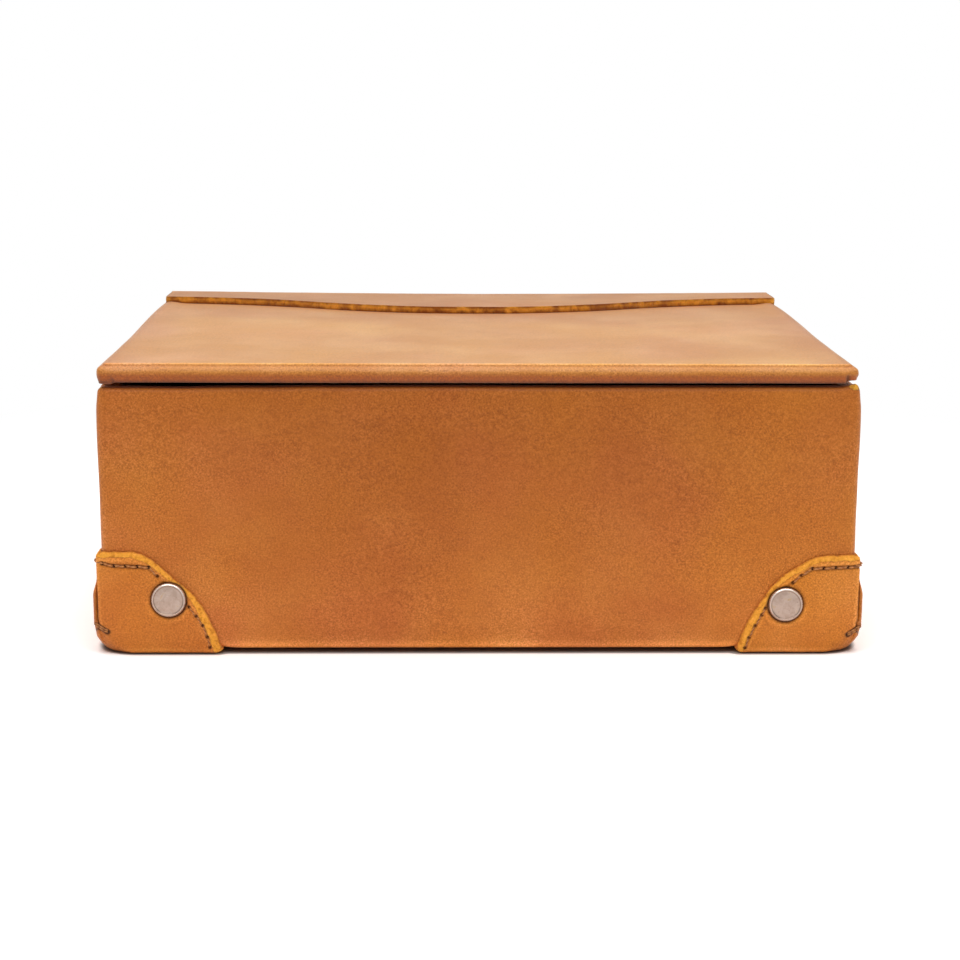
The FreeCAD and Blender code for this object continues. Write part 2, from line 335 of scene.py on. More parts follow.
def leather(name, dark, mid, light, painted_shade, raw_color=None, raw_shade=None, rest_place=False,
            sheen=0.12, sheen_roughness=0.45, level=0.22):
    """Waxed tan leather: cloudy tone, fine grain, pores, and raw edges where "raw" is set."""
    n = material_nodes(name)
    if rest_place:
        n.place = n.attribute("rest_place", "Vector")
    clouds = n.noise(75, detail=2.5, distortion=0.5)
    mottle = n.noise(27)
    hue = n.noise(42, place=n.moved("ADD", (0.37, 0.37, 0.37)))
    streaks = n.noise(3.2, 3.0, 0.6, place=n.moved("MULTIPLY", (0.7, 0.7, 1.4)))
    speckle = n.noise(0.62, 2.5, 0.7)
    pores = n.cells(1.15, 0.35)
    patches = n.remap(n.noise(24), 0.38, 0.62, 0.72, 1.0)
    scratches = n.noise(0.9, 2.0, 0.6, place=n.moved("MULTIPLY", (0.035, 0.035, 1.0)))

    # Tones from dark to light, then the painted_shade tone where the shade attribute says: painted
    # shade and shadow, and some darker tone
    color = n.layers(dark, (n.remap(clouds, 0.34, 0.66), mid),
                     (n.remap(mottle, 0.38, 0.78, 0.0, 0.55), light),
                     (n.attribute("shade"), painted_shade))
    color = n.layers(color, (n.remap(hue, 0.5, 0.66, 0.0, 0.5), n.tinted(color, 1.0, 0.92, 1.3)),
                     (n.remap(hue, 0.5, 0.34, 0.0, 0.5), n.tinted(color, 1.02, 1.04, 0.66)))
    # The lighter, whiter speckles are painted glints on the grain; scratches are lighter too
    darker = n.tinted(color, 0.66, 0.60, 0.55)
    glint_and_scratch_tone = n.tinted(color, 1.24, 1.34, 2.0)
    grain_glints = n.math("MULTIPLY", n.remap(speckle, 0.50, 0.64), patches)
    dark_grain = n.math("MULTIPLY", n.remap(speckle, 0.48, 0.34), patches)
    color = n.layers(color, (n.remap(streaks, 0.52, 0.32, 0.0, 0.24), darker),
                     (grain_glints, glint_and_scratch_tone),
                     (n.math("MULTIPLY", dark_grain, 0.9), darker),
                     (n.remap(scratches, 0.66, 0.74, 0.0, 0.45), glint_and_scratch_tone),
                     (n.remap(pores, 0.66, 0.9, 0.0, 0.3), darker))
    # Wear and painted highlights lighten and whiten the colour
    lightened = n.math("MULTIPLY", n.attribute("wear"), n.remap(mottle, 0.3, 0.6, 0.42, 0.6))
    color = n.mix(lightened, color, n.tinted(color, 2.0, 2.5, 4.3))
    roughness = n.remap(mottle, 0.3, 0.75, 0.55, 0.47)
    grain = n.math("ADD", n.math("MULTIPLY", speckle, 0.7), n.math("MULTIPLY", streaks, 0.3))
    normal = n.bump(n.remap(pores, 0.25, 0.9, 1.0, 0.0), 0.045, n.bump(grain, 0.11))

    if raw_color is not None:
        fibre = n.noise(0.7, 5.0, 0.75, 0.6)
        tufts = n.noise(1.9, 3.0, 0.65)
        fray = n.math("MULTIPLY", n.math("SUBTRACT", fibre, 0.5), 0.9)
        raw = n.remap(n.math("ADD", n.attribute("raw"), fray), 0.38, 0.62)
        edge = n.mix(n.attribute("burnish"), raw_color, raw_shade)
        edge_dark = n.tinted(edge, 0.62, 0.48, 0.35)
        edge_light = n.tinted(edge, 1.18, 1.22, 1.7)
        edge = n.layers(edge, (n.remap(tufts, 0.50, 0.34, 0.0, 0.75), edge_dark),
                        (n.remap(tufts, 0.53, 0.66, 0.0, 0.8), edge_light),
                        (n.remap(fibre, 0.48, 0.30, 0.0, 0.7), edge_dark),
                        (n.remap(fibre, 0.54, 0.72, 0.0, 0.6), edge_light))
        color = n.mix(raw, color, edge)
        roughness = n.math("ADD", roughness, n.math("MULTIPLY", raw, 0.4), clamp=True)
        normal = n.bump(n.math("MULTIPLY", n.math("ADD", fibre, tufts), raw), 0.4, normal)
    # Painted dark shade in holes, slits, the lid's lip and fold, round the rivets and beside the
    # threads
    color = n.mix(n.attribute("hole"), color, tone(40, 18, 6))
    return n.finish(color, roughness, normal, Specular_IOR_Level=level, Sheen_Weight=sheen,
                    Sheen_Roughness=sheen_roughness, Sheen_Tint=(1.0, 0.95, 0.8, 1.0))


def thread_material():
    n = material_nodes("waxed_thread")
    strand = n.noise(0.35, 3.0, 0.7)
    # Painted shade where the strands meet
    color = n.layers(tone(186, 116, 54), (n.remap(strand, 0.3, 0.7), tone(212, 144, 78)),
                     (n.attribute("groove"), tone(128, 72, 30)))
    return n.finish(color, 0.62, n.bump(strand, 0.1))


def rivet_material():
    n = material_nodes("antiqued_nickel")
    clouds = n.noise(3.2, 4.0, 0.6, 0.8)
    flecks = n.noise(0.6, 3.0, 0.7)
    scratches = n.noise(0.5, place=n.moved("MULTIPLY", (0.18, 0.18, 1.0)))
    # Lighter rim with a painted highlight on its top, and painted shade from the groove attribute
    rim = n.attribute("rim")
    color = n.layers(tone(158, 136, 122), (n.remap(clouds, 0.35, 0.65), tone(174, 154, 142)),
                     (n.remap(clouds, 0.56, 0.72, 0.0, 0.6), tone(166, 134, 86)),
                     (n.remap(flecks, 0.58, 0.75, 0.0, 0.5), tone(104, 80, 64)),
                     (n.attribute("groove"), tone(96, 70, 56)),
                     (n.math("MULTIPLY", rim, 0.8), tone(232, 220, 210)))
    uneven = n.math("ADD", scratches, n.math("MULTIPLY", clouds, 0.5))
    roughness = n.math("SUBTRACT", n.remap(uneven, 0.5, 1.0, 0.27, 0.44),
                       n.math("MULTIPLY", rim, 0.1))
    normal = n.bump(n.math("ADD", n.math("MULTIPLY", scratches, 0.4), flecks), 0.02)
    return n.finish(color, roughness, normal, Metallic=0.9)


def suede_material():
    n = material_nodes("brown_suede")
    fibre = n.noise(0.45, 4.0, 0.8)
    color = n.layers(tone(128, 86, 54), (n.remap(n.noise(34), 0.3, 0.7), tone(146, 102, 67)),
                     (n.remap(fibre, 0.35, 0.65, 0.0, 0.5), tone(96, 61, 36)))
    return n.finish(color, 0.95, n.bump(fibre, 0.3), Sheen_Weight=0.5, Sheen_Roughness=0.5,
                    Specular_IOR_Level=0.15)


def board_material():
    n = material_nodes("pressed_board")
    fibre = n.noise(1.6, 4.0, 0.7, place=n.moved("MULTIPLY", (0.35, 1.0, 1.0)))
    color = n.layers(tone(150, 132, 108), (n.remap(fibre, 0.3, 0.7), tone(178, 160, 134)),
                     (n.remap(n.noise(0.5), 0.6, 0.75, 0.0, 0.5), tone(104, 88, 70)))
    return n.finish(color, 0.9, n.bump(fibre, 0.15))


def make_materials():
    # Each: dark, mid and light tones, then the painted_shade tone. The lid's leather is paler and
    # yellower, partly a painted stand-in for the sheen its top shows at a grazing view
    lid_tan = (tone(194, 124, 44), tone(206, 138, 56), tone(220, 157, 82), tone(162, 78, 2))
    tan = (tone(181, 98, 32), tone(194, 111, 37), tone(207, 127, 48), tone(158, 82, 18))
    guard_tan = (tone(188, 104, 28), tone(201, 118, 32), tone(216, 137, 52), tone(150, 80, 28))
    strip_tan = (tone(166, 98, 32), tone(180, 112, 40), tone(196, 131, 60), tone(140, 76, 20))
    return {
        "cover": leather("cover_leather", *tan, tone(240, 172, 60), tone(150, 84, 30)),
        "lid": leather("lid_leather", *lid_tan, sheen=0.6, sheen_roughness=0.4, level=0.36),
        "guard": leather("guard_leather", *guard_tan, tone(246, 166, 57), tone(182, 100, 22)),
        "strip": leather("hinge_leather", *strip_tan, tone(236, 164, 48), tone(140, 76, 16),
                         rest_place=True, sheen=0.5, sheen_roughness=0.4, level=0.32),
        "thread": thread_material(),
        "rivet": rivet_material(),
        "suede": suede_material(),
        "board": board_material(),
    }


# ---- wrapped covers: rings of points round a rounded rectangle ----

ring_step = 2.2
corner_steps = 8


def ring_counts(low, high):
    """Number of steps along the front and along a side."""
    return [max(int((high[axis] - low[axis]) / ring_step), 8) for axis in range(2)]


def rectangle_ring(low, high, radius, height, counts):
    """Points anticlockwise round a rectangle from its front-left corner, with round corners.

    Every corner has the same number of points, also where its radius is zero.
    """
    (left, front), (right, back) = low[:2] + radius, high[:2] - radius
    arcs = []
    for index, centre in enumerate([(left, front), (right, front), (right, back), (left, back)]):
        angles = math.pi + index * math.pi / 2 + np.linspace(0, math.pi / 2, corner_steps + 1)
        arcs.append(centre + radius * np.stack([np.cos(angles), np.sin(angles)], 1))
    points = []
    for index, arc in enumerate(arcs):
        share = np.linspace(0, 1, counts[index % 2] + 1)[1:-1, None]
        # The steps get shorter towards the corners
        share = share - 0.75 * np.sin(2 * math.pi * share) / (2 * math.pi)
        points += [arc, arc[-1] * (1 - share) + arcs[(index + 1) % 4][0] * share]
    flat = np.concatenate(points)
    return np.column_stack([flat, np.full(len(flat), height)])


def grid_cap(ring, counts, first_index, next_index):
    """Grid that fills a ring with sharp corners: new points and faces."""
    count_x, count_y = counts
    front = corner_steps + count_x
    side = corner_steps + count_y
    along_x = np.arange(count_x + 1)
    along_y = np.arange(count_y + 1)
    # Every side of the ring starts at the last point of its corner
    table = np.zeros((count_x + 1, count_y + 1), int)
    table[:, 0] = corner_steps + along_x
    table[::-1, -1] = corner_steps + front + side + along_x
    table[-1] = corner_steps + front + along_y
    table[0, ::-1] = (corner_steps + 2 * front + side + along_y) % (2 * front + 2 * side)
    grid = np.meshgrid(ring[table[1:-1, 0], 0], ring[table[0, 1:-1], 1], ring[0, 2], indexing="ij")
    points = np.stack(grid, -1).reshape(-1, 3)
    index = first_index + table
    index[1:-1, 1:-1] = next_index + np.arange(len(points)).reshape(count_x - 1, count_y - 1)
    return points, grid_faces(index)


def arc_profile(centre, radius, start, end, steps):
    """(inset, height) points on an arc, angles in degrees."""
    angles = np.radians(np.linspace(start, end, steps + 1))
    return [(centre[0] + radius * math.cos(a), centre[1] + radius * math.sin(a)) for a in angles]


def line_profile(start, end, steps):
    """(inset, height) points between two others."""
    share = np.linspace(0, 1, steps + 1)[1:-1]
    return [(start[0] + (end[0] - start[0]) * s, start[1] + (end[1] - start[1]) * s) for s in share]


def join_profiles(first, *rest):
    """One profile from lists of points, with the number of line steps given between them."""
    profile = list(first)
    for steps, part in zip(rest[0::2], rest[1::2]):
        profile += line_profile(profile[-1], part[0], steps) + part
    return profile


def from_sides(x, y, low, high):
    """How far points lie inside a block from its nearer side, and from its front or back."""
    return least(x - low[0], high[0] - x), least(y - low[1], high[1] - y)


def round_vertex(points, low, high, edge_round, vertex_round, upper):
    """Pushes points near the corners of a block in to a larger radius than its edges have."""
    x, y, z = points.T
    from_x, from_y = from_sides(x, y, low, high)
    from_z = high[2] - z if upper else z - low[2]
    far = most(from_x, from_y, from_z)
    by_vertex = ramp(vertex_round * 2.2, vertex_round * 0.6, far)
    radius = edge_round + (vertex_round - edge_round) * by_vertex
    short = [most(radius - d, 0) for d in (from_x, from_y, from_z)]
    length = np.sqrt(sum(s * s for s in short))
    scale = np.where(length > radius, radius / most(length, 1e-6), 1.0)
    inward = (np.sign(low[0] + high[0] - 2 * x), np.sign(low[1] + high[1] - 2 * y),
              -1 if upper else 1)
    for axis in range(3):
        points[:, axis] += inward[axis] * short[axis] * (1 - scale)


def tighten(first, second, radius, power):
    """Distances from two faces, moved from a round edge of a radius to a squarer one."""
    a = np.clip(1 - first / radius, 0, 1)
    b = np.clip(1 - second / radius, 0, 1)
    on_edge = (a > 0) & (b > 0)
    new_first = np.where(on_edge, radius * (1 - a ** (2 / power)), first)
    new_second = np.where(on_edge, radius * (1 - b ** (2 / power)), second)
    return new_first, new_second


def wall_profile():
    """(inset, height) points round the walls' leather, and how many lie on its outside."""
    inside = board_depth + cover_leather
    floor, top = body_bottom, rim_height
    outer = join_profiles(
        [(board_depth, lining_top), (inside - 0.5, lining_top), (inside, lining_top + 0.5)], 5,
        arc_profile((inside - rim_inner_round, top - rim_inner_round), rim_inner_round, 0, 90, 4),
        3, arc_profile((rim_round, top - rim_round), rim_round, 90, 180, 6),
        40, arc_profile((base_round, floor + base_round), base_round, 180, 270, 6))
    outer += line_profile(outer[-1], (base_turn_in, floor), 5)
    over_base = floor + cover_leather
    outer += [(base_turn_in, floor + 0.3), (base_turn_in, over_base)]
    profile = join_profiles(
        outer, 3, [(cover_leather + 1.2, over_base), (cover_leather, floor + base_round)],
        6, [(cover_leather, top - cover_leather), (board_depth, top - cover_leather)])
    return profile, len(outer)


def settle_walls(points):
    """Rounds the walls' corners, and lets the leather hang a little between the guards."""
    round_vertex(points, wall_low, wall_high, base_round, body_vertex_round, False)
    round_vertex(points, wall_low, wall_high, rim_round, rim_vertex_round, True)
    x, y, z = points.T
    from_x = half_width - np.abs(x)
    from_y = half_depth - np.abs(y)
    # Between the guards the lower edge is tighter too
    between = ramp(guard_reach - 3, guard_reach + 5, most(from_x, from_y))
    near_side = least(from_x, from_y)
    height = z - body_bottom
    new_side, new_height = tighten(near_side, height, base_round, 2 + 4 * between)
    hang = 0.2 * between * ramp(13, 2, near_side) * ramp(9, 1, height)
    points[:, 0] += np.where(from_x < from_y, np.sign(x) * (near_side - new_side), 0)
    points[:, 1] += np.where(from_x < from_y, 0, np.sign(y) * (near_side - new_side))
    points[:, 2] = body_bottom + new_height - hang


def make_wall_cover(material):
    """Leather on the four walls: over the rim, down inside, and in under the base."""
    low, high = wall_low, wall_high
    floor, top = body_bottom, rim_height
    profile, outside_count = wall_profile()
    counts = ring_counts(low, high)
    rings = []
    for inset, height in profile:
        on_inside = inset > board_depth - 0.01
        radius = inner_corner_round if on_inside else max(upright_round - inset, 0.0)
        rings.append(rectangle_ring(low + inset, high - inset, radius, height, counts))
    points, faces = stack_rings(rings, closed=True)
    outside = slice(0, outside_count * len(rings[0]))
    shaped = points[outside]
    settle_walls(shaped)
    x, y, z = shaped.T
    from_x, from_y = from_sides(x, y, low, high)
    from_wall = least(from_x, from_y)
    # The leather stands off a little under the rim and pulls in again at its edge
    swell = 0.28 * bump_at(z, top - 17, 12.0) - 0.5 * ramp(top - 8, top - 1, z)
    wave = 0.16 * noise_at(x, y, z, 34, 3) + 0.06 * noise_at(x, y, z, 9, 4)
    push = (swell + wave) * (from_wall < 2.5) * ramp(0, 6, z - floor)
    side_share = np.clip(1 - from_x / upright_round, 0, 1)
    front_share = np.clip(1 - from_y / upright_round, 0, 1)
    shaped[:, 0] += np.sign(x) * push * side_share
    shaped[:, 1] += np.sign(y) * push * front_share
    # Along the rim the folds at the corners stand up, and the front dips towards the left
    at_rim = ramp(top - 2.5, top, z)
    folded = bump_at(np.hypot(from_x, from_y), 0.0, 5.0)
    cut_end = bump_at(np.hypot(x - half_width + 2.4, y + half_depth - 1.2), 0.0, 2.6)
    rim_dip = 0.6 * ramp(-40, -110, x) * (y < -half_depth + 8)
    rim_wave = 0.12 * noise_at(x, y, z, 14, 5)
    shaped[:, 2] += (rim_wave + 0.45 * folded + 1.0 * cut_end - rim_dip) * at_rim

    # Painted shade: darker towards the rim, standing in for light from below, with a painted shadow
    # of the lid along the rim's top edge; the walls are also darker in their middle, and the
    # leather inside and under the base darker throughout
    along = np.where(from_x < from_y, np.abs(y) / half_depth, np.abs(x) / half_width)
    painted_shade = (0.34 * ramp(4, 92, z) + 0.28 * ramp(0.95, 0.35, along)
               + 0.3 * ramp(top - 1.6, top - 0.3, z))
    shade = np.full(len(points), 0.6)
    shade[outside] = np.where(from_wall < 2.0, painted_shade, 0.7)
    # The upright edges and the rim are lighter from wear; towards the bottom a paler tone stands in
    # for light from below, with a painted highlight along the foot's edge
    painted_foot_light = (0.2 * ramp(38, 4, z) + 0.32 * ramp(floor + 5.0, floor + 2.2, z)
            + 1.2 * bump_at(z, floor + 1.0, 0.8))
    wear = np.zeros(len(points))
    wear[outside] = most(0.12 * ramp(top - 2.2, top - 0.4, z),
                         0.28 * least(side_share, front_share), painted_foot_light)
    # Raw leather shows at the inner edge, at the fold that stands up and at the cuts in the rim
    raw = np.zeros(len(points))
    raw[:2 * len(rings[0])] = 1.0
    raw[outside] = most(raw[outside], 0.9 * ramp(0.35, 0.6, cut_end * at_rim))
    x, y, z = points.T
    inward_x = half_width - np.abs(x)
    inward_y = half_depth - np.abs(y)
    near_mitre = np.abs(np.abs(inward_x) - np.abs(inward_y)) < 0.5
    raw[(z > top - 1.0) & near_mitre & (inward_x > 0) & (inward_x < 8)] = 0.8
    most_lightened = 1.65
    cover = make_object("wall_leather", points, faces, {
        "wear": least(wear, most_lightened), "raw": raw, "shade": shade})
    dress(cover, "box", material, "wall_cover")


def rear_sag(x, y):
    """How far the lid and its strip sag at the back, most just left of the middle."""
    sagging_half = 125
    share = np.clip(x / sagging_half, -1, 1)
    return (0.42 + (0.82 - 0.12 * share) * (1 - share ** 2)) * ramp(46, 103, y)


def lid_spread(points):
    """The real lid is a little wider at the back, and has sunk there under its strip."""
    x, y, z = points.T
    points = points.copy()
    # The side edges are squarer than round, and more so towards the back
    tight = 2.8 + 1.7 * ramp(-30, 45, y)
    from_side = lid_high[0] - np.abs(x)
    new_side, new_drop = tighten(from_side, lid_high[2] - z, lid_edge_round, tight)
    points[:, 0] += np.sign(x) * (from_side - new_side)
    points[:, 2] = lid_high[2] - new_drop
    left = 0.25 - 1.15 * ramp(-60, 70, y)
    right = -1.1 + 1.4 * ramp(-70, 70, y)
    points[:, 0] += ramp(90, 120, np.abs(x)) * np.where(x > 0, right, left)
    points[:, 1] -= 0.9 * ramp(-86, -98, y)
    on_top = ramp(95.5, 97.5, points[:, 2])
    dip = 0.75 * ramp(5, 50, y) * ramp(125, 117, np.abs(x))
    points[:, 2] -= (dip + rear_sag(x, y)) * on_top
    return points


def lid_ripples(x, y, z):
    return 0.08 * noise_at(x, y, z, 8, 11) + 0.12 * noise_at(x, y, z, 27, 12)


def lid_rings(counts):
    """Rings of points on the outside and on the inside of the lid's leather."""
    low, high = lid_low, lid_high
    bottom, top = low[2], high[2]
    grid_inset = 9.0

    def lid_ring(inset, height):
        radius = max(lid_corner_round - inset, 0.0)
        return rectangle_ring(low + inset, high - inset, radius, height, counts)

    def window_ring(height):
        return rectangle_ring(panel_low, panel_high, 0.0, height, counts)

    # From the lip under the edge, out over the edge and onto the top: (inset, height)
    edge = [(1.6, 0.36), (1.1, 0.38), (0.8, 0.48), (0.64, 0.68), (0.6, 0.95), (0.5, 1.3),
            (0.34, 1.75), (0.16, 2.2), (0.04, 2.8), (0.0, 3.3), (0.06, 3.8), (0.25, 4.3),
            (0.6, 4.75), (1.05, 5.1), (1.6, 5.36), (2.1, 5.52), (2.35, 5.72), (2.5, 6.0),
            (2.64, 6.3), (2.9, 6.5), (3.3, 6.58), (3.6, top - bottom)]
    profile = join_profiles([(grid_inset, bottom)], 5, [(d, bottom + h) for d, h in edge],
                            4, [(grid_inset, top)])
    outer_rings = [window_ring(lid_board_bottom), window_ring(bottom)]
    outer_rings += [lid_ring(inset, height) for inset, height in profile[1:]]
    under_top = top - cover_leather
    over_lip = bottom + cover_leather
    inner_profile = [(grid_inset, under_top), (cover_leather + 1.2, under_top),
                     (cover_leather, under_top - 1.2), (cover_leather, over_lip + 1.2),
                     (cover_leather + 1.2, over_lip)]
    inner_rings = [lid_ring(inset, height) for inset, height in inner_profile]
    return outer_rings, inner_rings + [window_ring(lid_board_bottom + 0.01)]


def fold_lid(points):
    """Folds the front corners: the left one sags, the right one is tucked up beside a notch.

    Returns how deep each point lies in the notch or in the fold's pleat.
    """
    bottom, top = lid_low[2], lid_high[2]
    x, y, z = points.T
    from_left = x - lid_low[0]
    from_right = lid_high[0] - x
    from_front = y - lid_low[1]
    from_edge = least(*from_sides(x, y, lid_low, lid_high))
    at_front = bump_at(from_front, 0.5, 5.0)
    lowered = ramp(top - 2.4, bottom + 0.8, z)
    points[:, 2] += lowered * at_front * (1.0 * ramp(4.0, 3.1, from_right)
                                          - 0.6 * ramp(6.6, 4.2, from_left))
    notch = bump_at(from_right, 3.7, 0.55) * at_front * ramp(top - 2.6, bottom + 2.4, z)
    pleat = bump_at(from_left, 5.9 - 0.4 * (z - bottom), 0.5) * at_front * lowered
    points[:, 1] += 1.3 * notch + 0.5 * pleat
    points[:, 2] += lid_ripples(x, y, z) * np.where(from_edge < 3.2, 0.6, 0.35)
    points[:, 1] -= np.where(from_front < 0.9, 0.12 * noise_at(x, y, z, 13, 13), 0)
    return most(notch, pleat)


def make_lid_cover(material):
    """Leather round the lid board, turned in underneath."""
    low, high = lid_low, lid_high
    bottom, top = low[2], high[2]
    counts = ring_counts(low, high)
    outer_rings, inner_rings = lid_rings(counts)
    shaped, faces = stack_rings(outer_rings)
    in_fold = fold_lid(shaped)
    count = len(outer_rings[0])
    cap, cap_faces = grid_cap(outer_rings[-1], counts, (len(outer_rings) - 1) * count, len(shaped))
    cap[:, 2] += 0.35 * lid_ripples(*cap.T)
    offset = len(shaped) + len(cap)
    inner, inner_faces = stack_rings(inner_rings, offset=offset)
    inner_cap, inner_cap_faces = grid_cap(inner_rings[0], counts, offset, offset + len(inner))
    # The last inner ring meets the first outer one in the window over the panel
    last_inner = offset + (len(inner_rings) - 1) * count + np.arange(count)
    faces += cap_faces + inner_faces + inner_cap_faces + ring_faces(last_inner, np.arange(count))
    points = np.concatenate([shaped, cap, inner, inner_cap])

    x, y, z = points.T
    from_side = from_sides(x, y, low, high)[0]
    from_edge = least(from_side, y - low[1])
    # Painted highlight along the crest of the front edge, faint along the sides
    crest_highlight = 0.65 * bump_at(y - low[1], 2.9, 0.6) + 0.06 * bump_at(from_side, 2.9, 0.6)
    wear = crest_highlight * ramp(top - 0.6, top - 0.2, z)
    # Painted shade on the lower part of the edges, with the band above it in a darker, redder tone;
    # a painted shadow on the top beside the strip; the top also darker towards its back and its
    # sides; painted shade on the lip underneath and in the fold's notch and pleat
    shade = 0.33 * ramp(2.9, 2.4, from_edge) + 0.67 * ramp(top - 2.3, top - 4.3, z)
    by_strip = lid_high[1] - hinge_reach(x) - y
    by_side = 0.34 * ramp(24, 2, from_side) + 0.26 * ramp(5.5, 2, from_side)
    painted_shadow_and_tone = most(0.45 * ramp(10, 0, by_strip), 0.28 * ramp(75, 5, by_strip), by_side)
    shade = most(shade, painted_shadow_and_tone * ramp(top - 2, top - 1, z))
    hole = 0.55 * ramp(bottom + 1.7, bottom + 0.5, z) * (from_edge < 1.8)
    hole[:len(shaped)] = most(hole[:len(shaped)], 0.7 * in_fold)
    lid = make_object("lid_leather", lid_spread(points), faces,
                      {"wear": wear, "shade": shade, "hole": hole})
    dress(lid, "lid", material, "lid_cover")


# ---- leather hinge strip ----

strip_columns = 200
strip_rows = 110


def hinge_reach(x):
    """Distance of the strip's free edge from the lid's rear top edge, along either face."""
    half = strip_high[0]
    middle = lid_high[1] - strip_low[1]
    ends = 24.0
    rise = middle - ends
    radius = (half ** 2 + rise ** 2) / (4 * rise)
    x = np.abs(x)
    inner = middle - radius + np.sqrt(most(radius ** 2 - x ** 2, 0))
    outer = ends + radius - np.sqrt(most(radius ** 2 - (half - x) ** 2, 0))
    return np.where(x < half / 2, inner, outer)


def hinge_point(x, along, depth):
    """Point of the strip. along is 0 where the bend over the lid's rear edge starts."""
    outer_round = lid_edge_round + hinge_leather
    bend = outer_round * math.pi / 2
    angle = np.clip(along / outer_round, 0, math.pi / 2)
    radius = outer_round - depth
    y = lid_high[1] - lid_edge_round + radius * np.sin(angle) + least(along, 0)
    z = lid_high[2] - lid_edge_round + radius * np.cos(angle) - most(along - bend, 0)
    return np.stack(np.broadcast_arrays(x, y, z), -1)


def grid_border(grid):
    """What stands round the border of a grid, in order."""
    return np.concatenate([grid[:-1, 0], grid[-1, :-1], grid[:0:-1, -1], grid[0, :0:-1]])


def strip_sheet(depth, inset, deeper=0.0):
    """Points at one depth with their border moved in by inset, and the same laid out flat."""
    half = strip_high[0]
    bend = (lid_edge_round + hinge_leather) * math.pi / 2
    x = np.linspace(-half, half, strip_columns) * (half - inset) / half
    reach = hinge_reach(x) - inset
    start = lid_edge_round - reach
    end = bend + reach - lid_edge_round
    along = start[:, None] + (end - start)[:, None] * np.linspace(0, 1, strip_rows)
    wide_x = np.repeat(x[:, None], strip_rows, 1)
    flat = np.stack([wide_x, along, np.full_like(along, depth)], -1)
    return hinge_point(wide_x, along, depth + deeper), flat


def roughen_edge(ring, across):
    """Makes one layer of the cut edge rough and lets it wander. across goes through the leather."""
    rough = 0.16 * noise_at(*ring.T, 1.1, 33) + 0.10 * noise_at(*ring.T, 3.5, 34)
    outward = np.cross(np.roll(ring, -1, 0) - np.roll(ring, 1, 0), across)
    outward /= most(np.linalg.norm(outward, axis=1)[:, None], 1e-6)
    facing = np.sign(np.sum(outward * (ring - ring.mean(0)), 1))[:, None]
    ring += outward * facing * least(rough, 0.05)[:, None]


def settle_strip(points):
    """Draws the strip in at its ends, and lets it follow the lid where that has sunk."""
    x, y, z = points.T
    on_lid = ramp(95, 98.5, z)
    points[:, 0] -= np.sign(x) * 0.7 * on_lid * ramp(100, 120, np.abs(x))
    depth = np.clip((strip_high[2] - z) / hinge_leather, 0, 1)
    points[:, 2] -= 0.65 * depth * ramp(100, 92, y) * ramp(96.5, 98, z)
    points[:, 2] -= rear_sag(x, y) * on_lid


def make_hinge_strip(material):
    """One strip of thick leather, glued on the lid and on the back wall."""
    # Layers through the thickness at the free edge: (depth, how far the edge stands back)
    edge_shape = [(0.0, 0.42), (0.12, 0.16), (0.4, 0.05), (0.95, 0.0), (1.6, 0.04), (2.2, 0.12)]
    even = strip_sheet(*edge_shape[0])[0].reshape(-1, 3)
    swell = 0.10 * noise_at(*even.T, 21, 31) + 0.05 * noise_at(*even.T, 6, 32)
    swell = swell.reshape(strip_columns, strip_rows)
    top_grid, top_flat = strip_sheet(*edge_shape[0], 0.12 - swell)
    low_grid, low_flat = strip_sheet(hinge_leather, 0.2, 0.15)
    size = strip_columns * strip_rows
    top_index = np.arange(size).reshape(strip_columns, strip_rows)
    low_index = top_index + size
    points = [top_grid.reshape(-1, 3), low_grid.reshape(-1, 3)]
    rest_place = [top_flat.reshape(-1, 3), low_flat.reshape(-1, 3)]
    burnish = [np.ones(2 * size)]
    ring_index = [grid_border(top_index)]
    count = len(ring_index[0])
    across = grid_border(low_grid) - grid_border(top_grid)
    for layer, (depth, inset) in enumerate(edge_shape[1:]):
        grid, flat = strip_sheet(depth, inset)
        ring = grid_border(grid)
        roughen_edge(ring, across)
        points.append(ring)
        rest_place.append(grid_border(flat))
        # Darker at the outer layers and paler in the middle, with flecks: partly the cut's own
        # tone, partly painted shade on the rounded edge
        off_middle = abs(depth - 1.1) / 0.9
        flecks = noise_at(*ring.T, 2.4, 35)
        burnish.append(np.clip(off_middle + 0.7 * flecks, 0, 1))
        ring_index.append(2 * size + layer * count + np.arange(count))
    ring_index.append(grid_border(low_index))
    faces = grid_faces(top_index) + grid_faces(low_index)
    for first, second in zip(ring_index[:-1], ring_index[1:]):
        faces += ring_faces(first, second)
    points = np.concatenate(points)
    settle_strip(points)
    raw = (np.arange(len(points)) >= 2 * size).astype(float)
    raw[ring_index[0]] = 0.3
    raw[ring_index[-1]] = 1.0
    from_rear_edge = np.hypot(points[:, 1] - lid_high[1], points[:, 2] - lid_high[2])
    wear = 0.14 * bump_at(from_rear_edge, 2.6, 1.6)
    wear[ring_index[0]] += 0.28
    strip = make_object("hinge_strip", points, faces, {
        "raw": raw, "wear": wear, "burnish": np.concatenate(burnish),
        "rest_place": np.concatenate(rest_place) * MM}, weld=0.0005)
    strip.data.materials.append(material)
    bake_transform(strip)
    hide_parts("hinge_leaf_lid", "hinge_leaf_back")


# ---- corner guards ----
# Corner coordinates: u goes in from the side wall, v in from the front or back wall, z up.

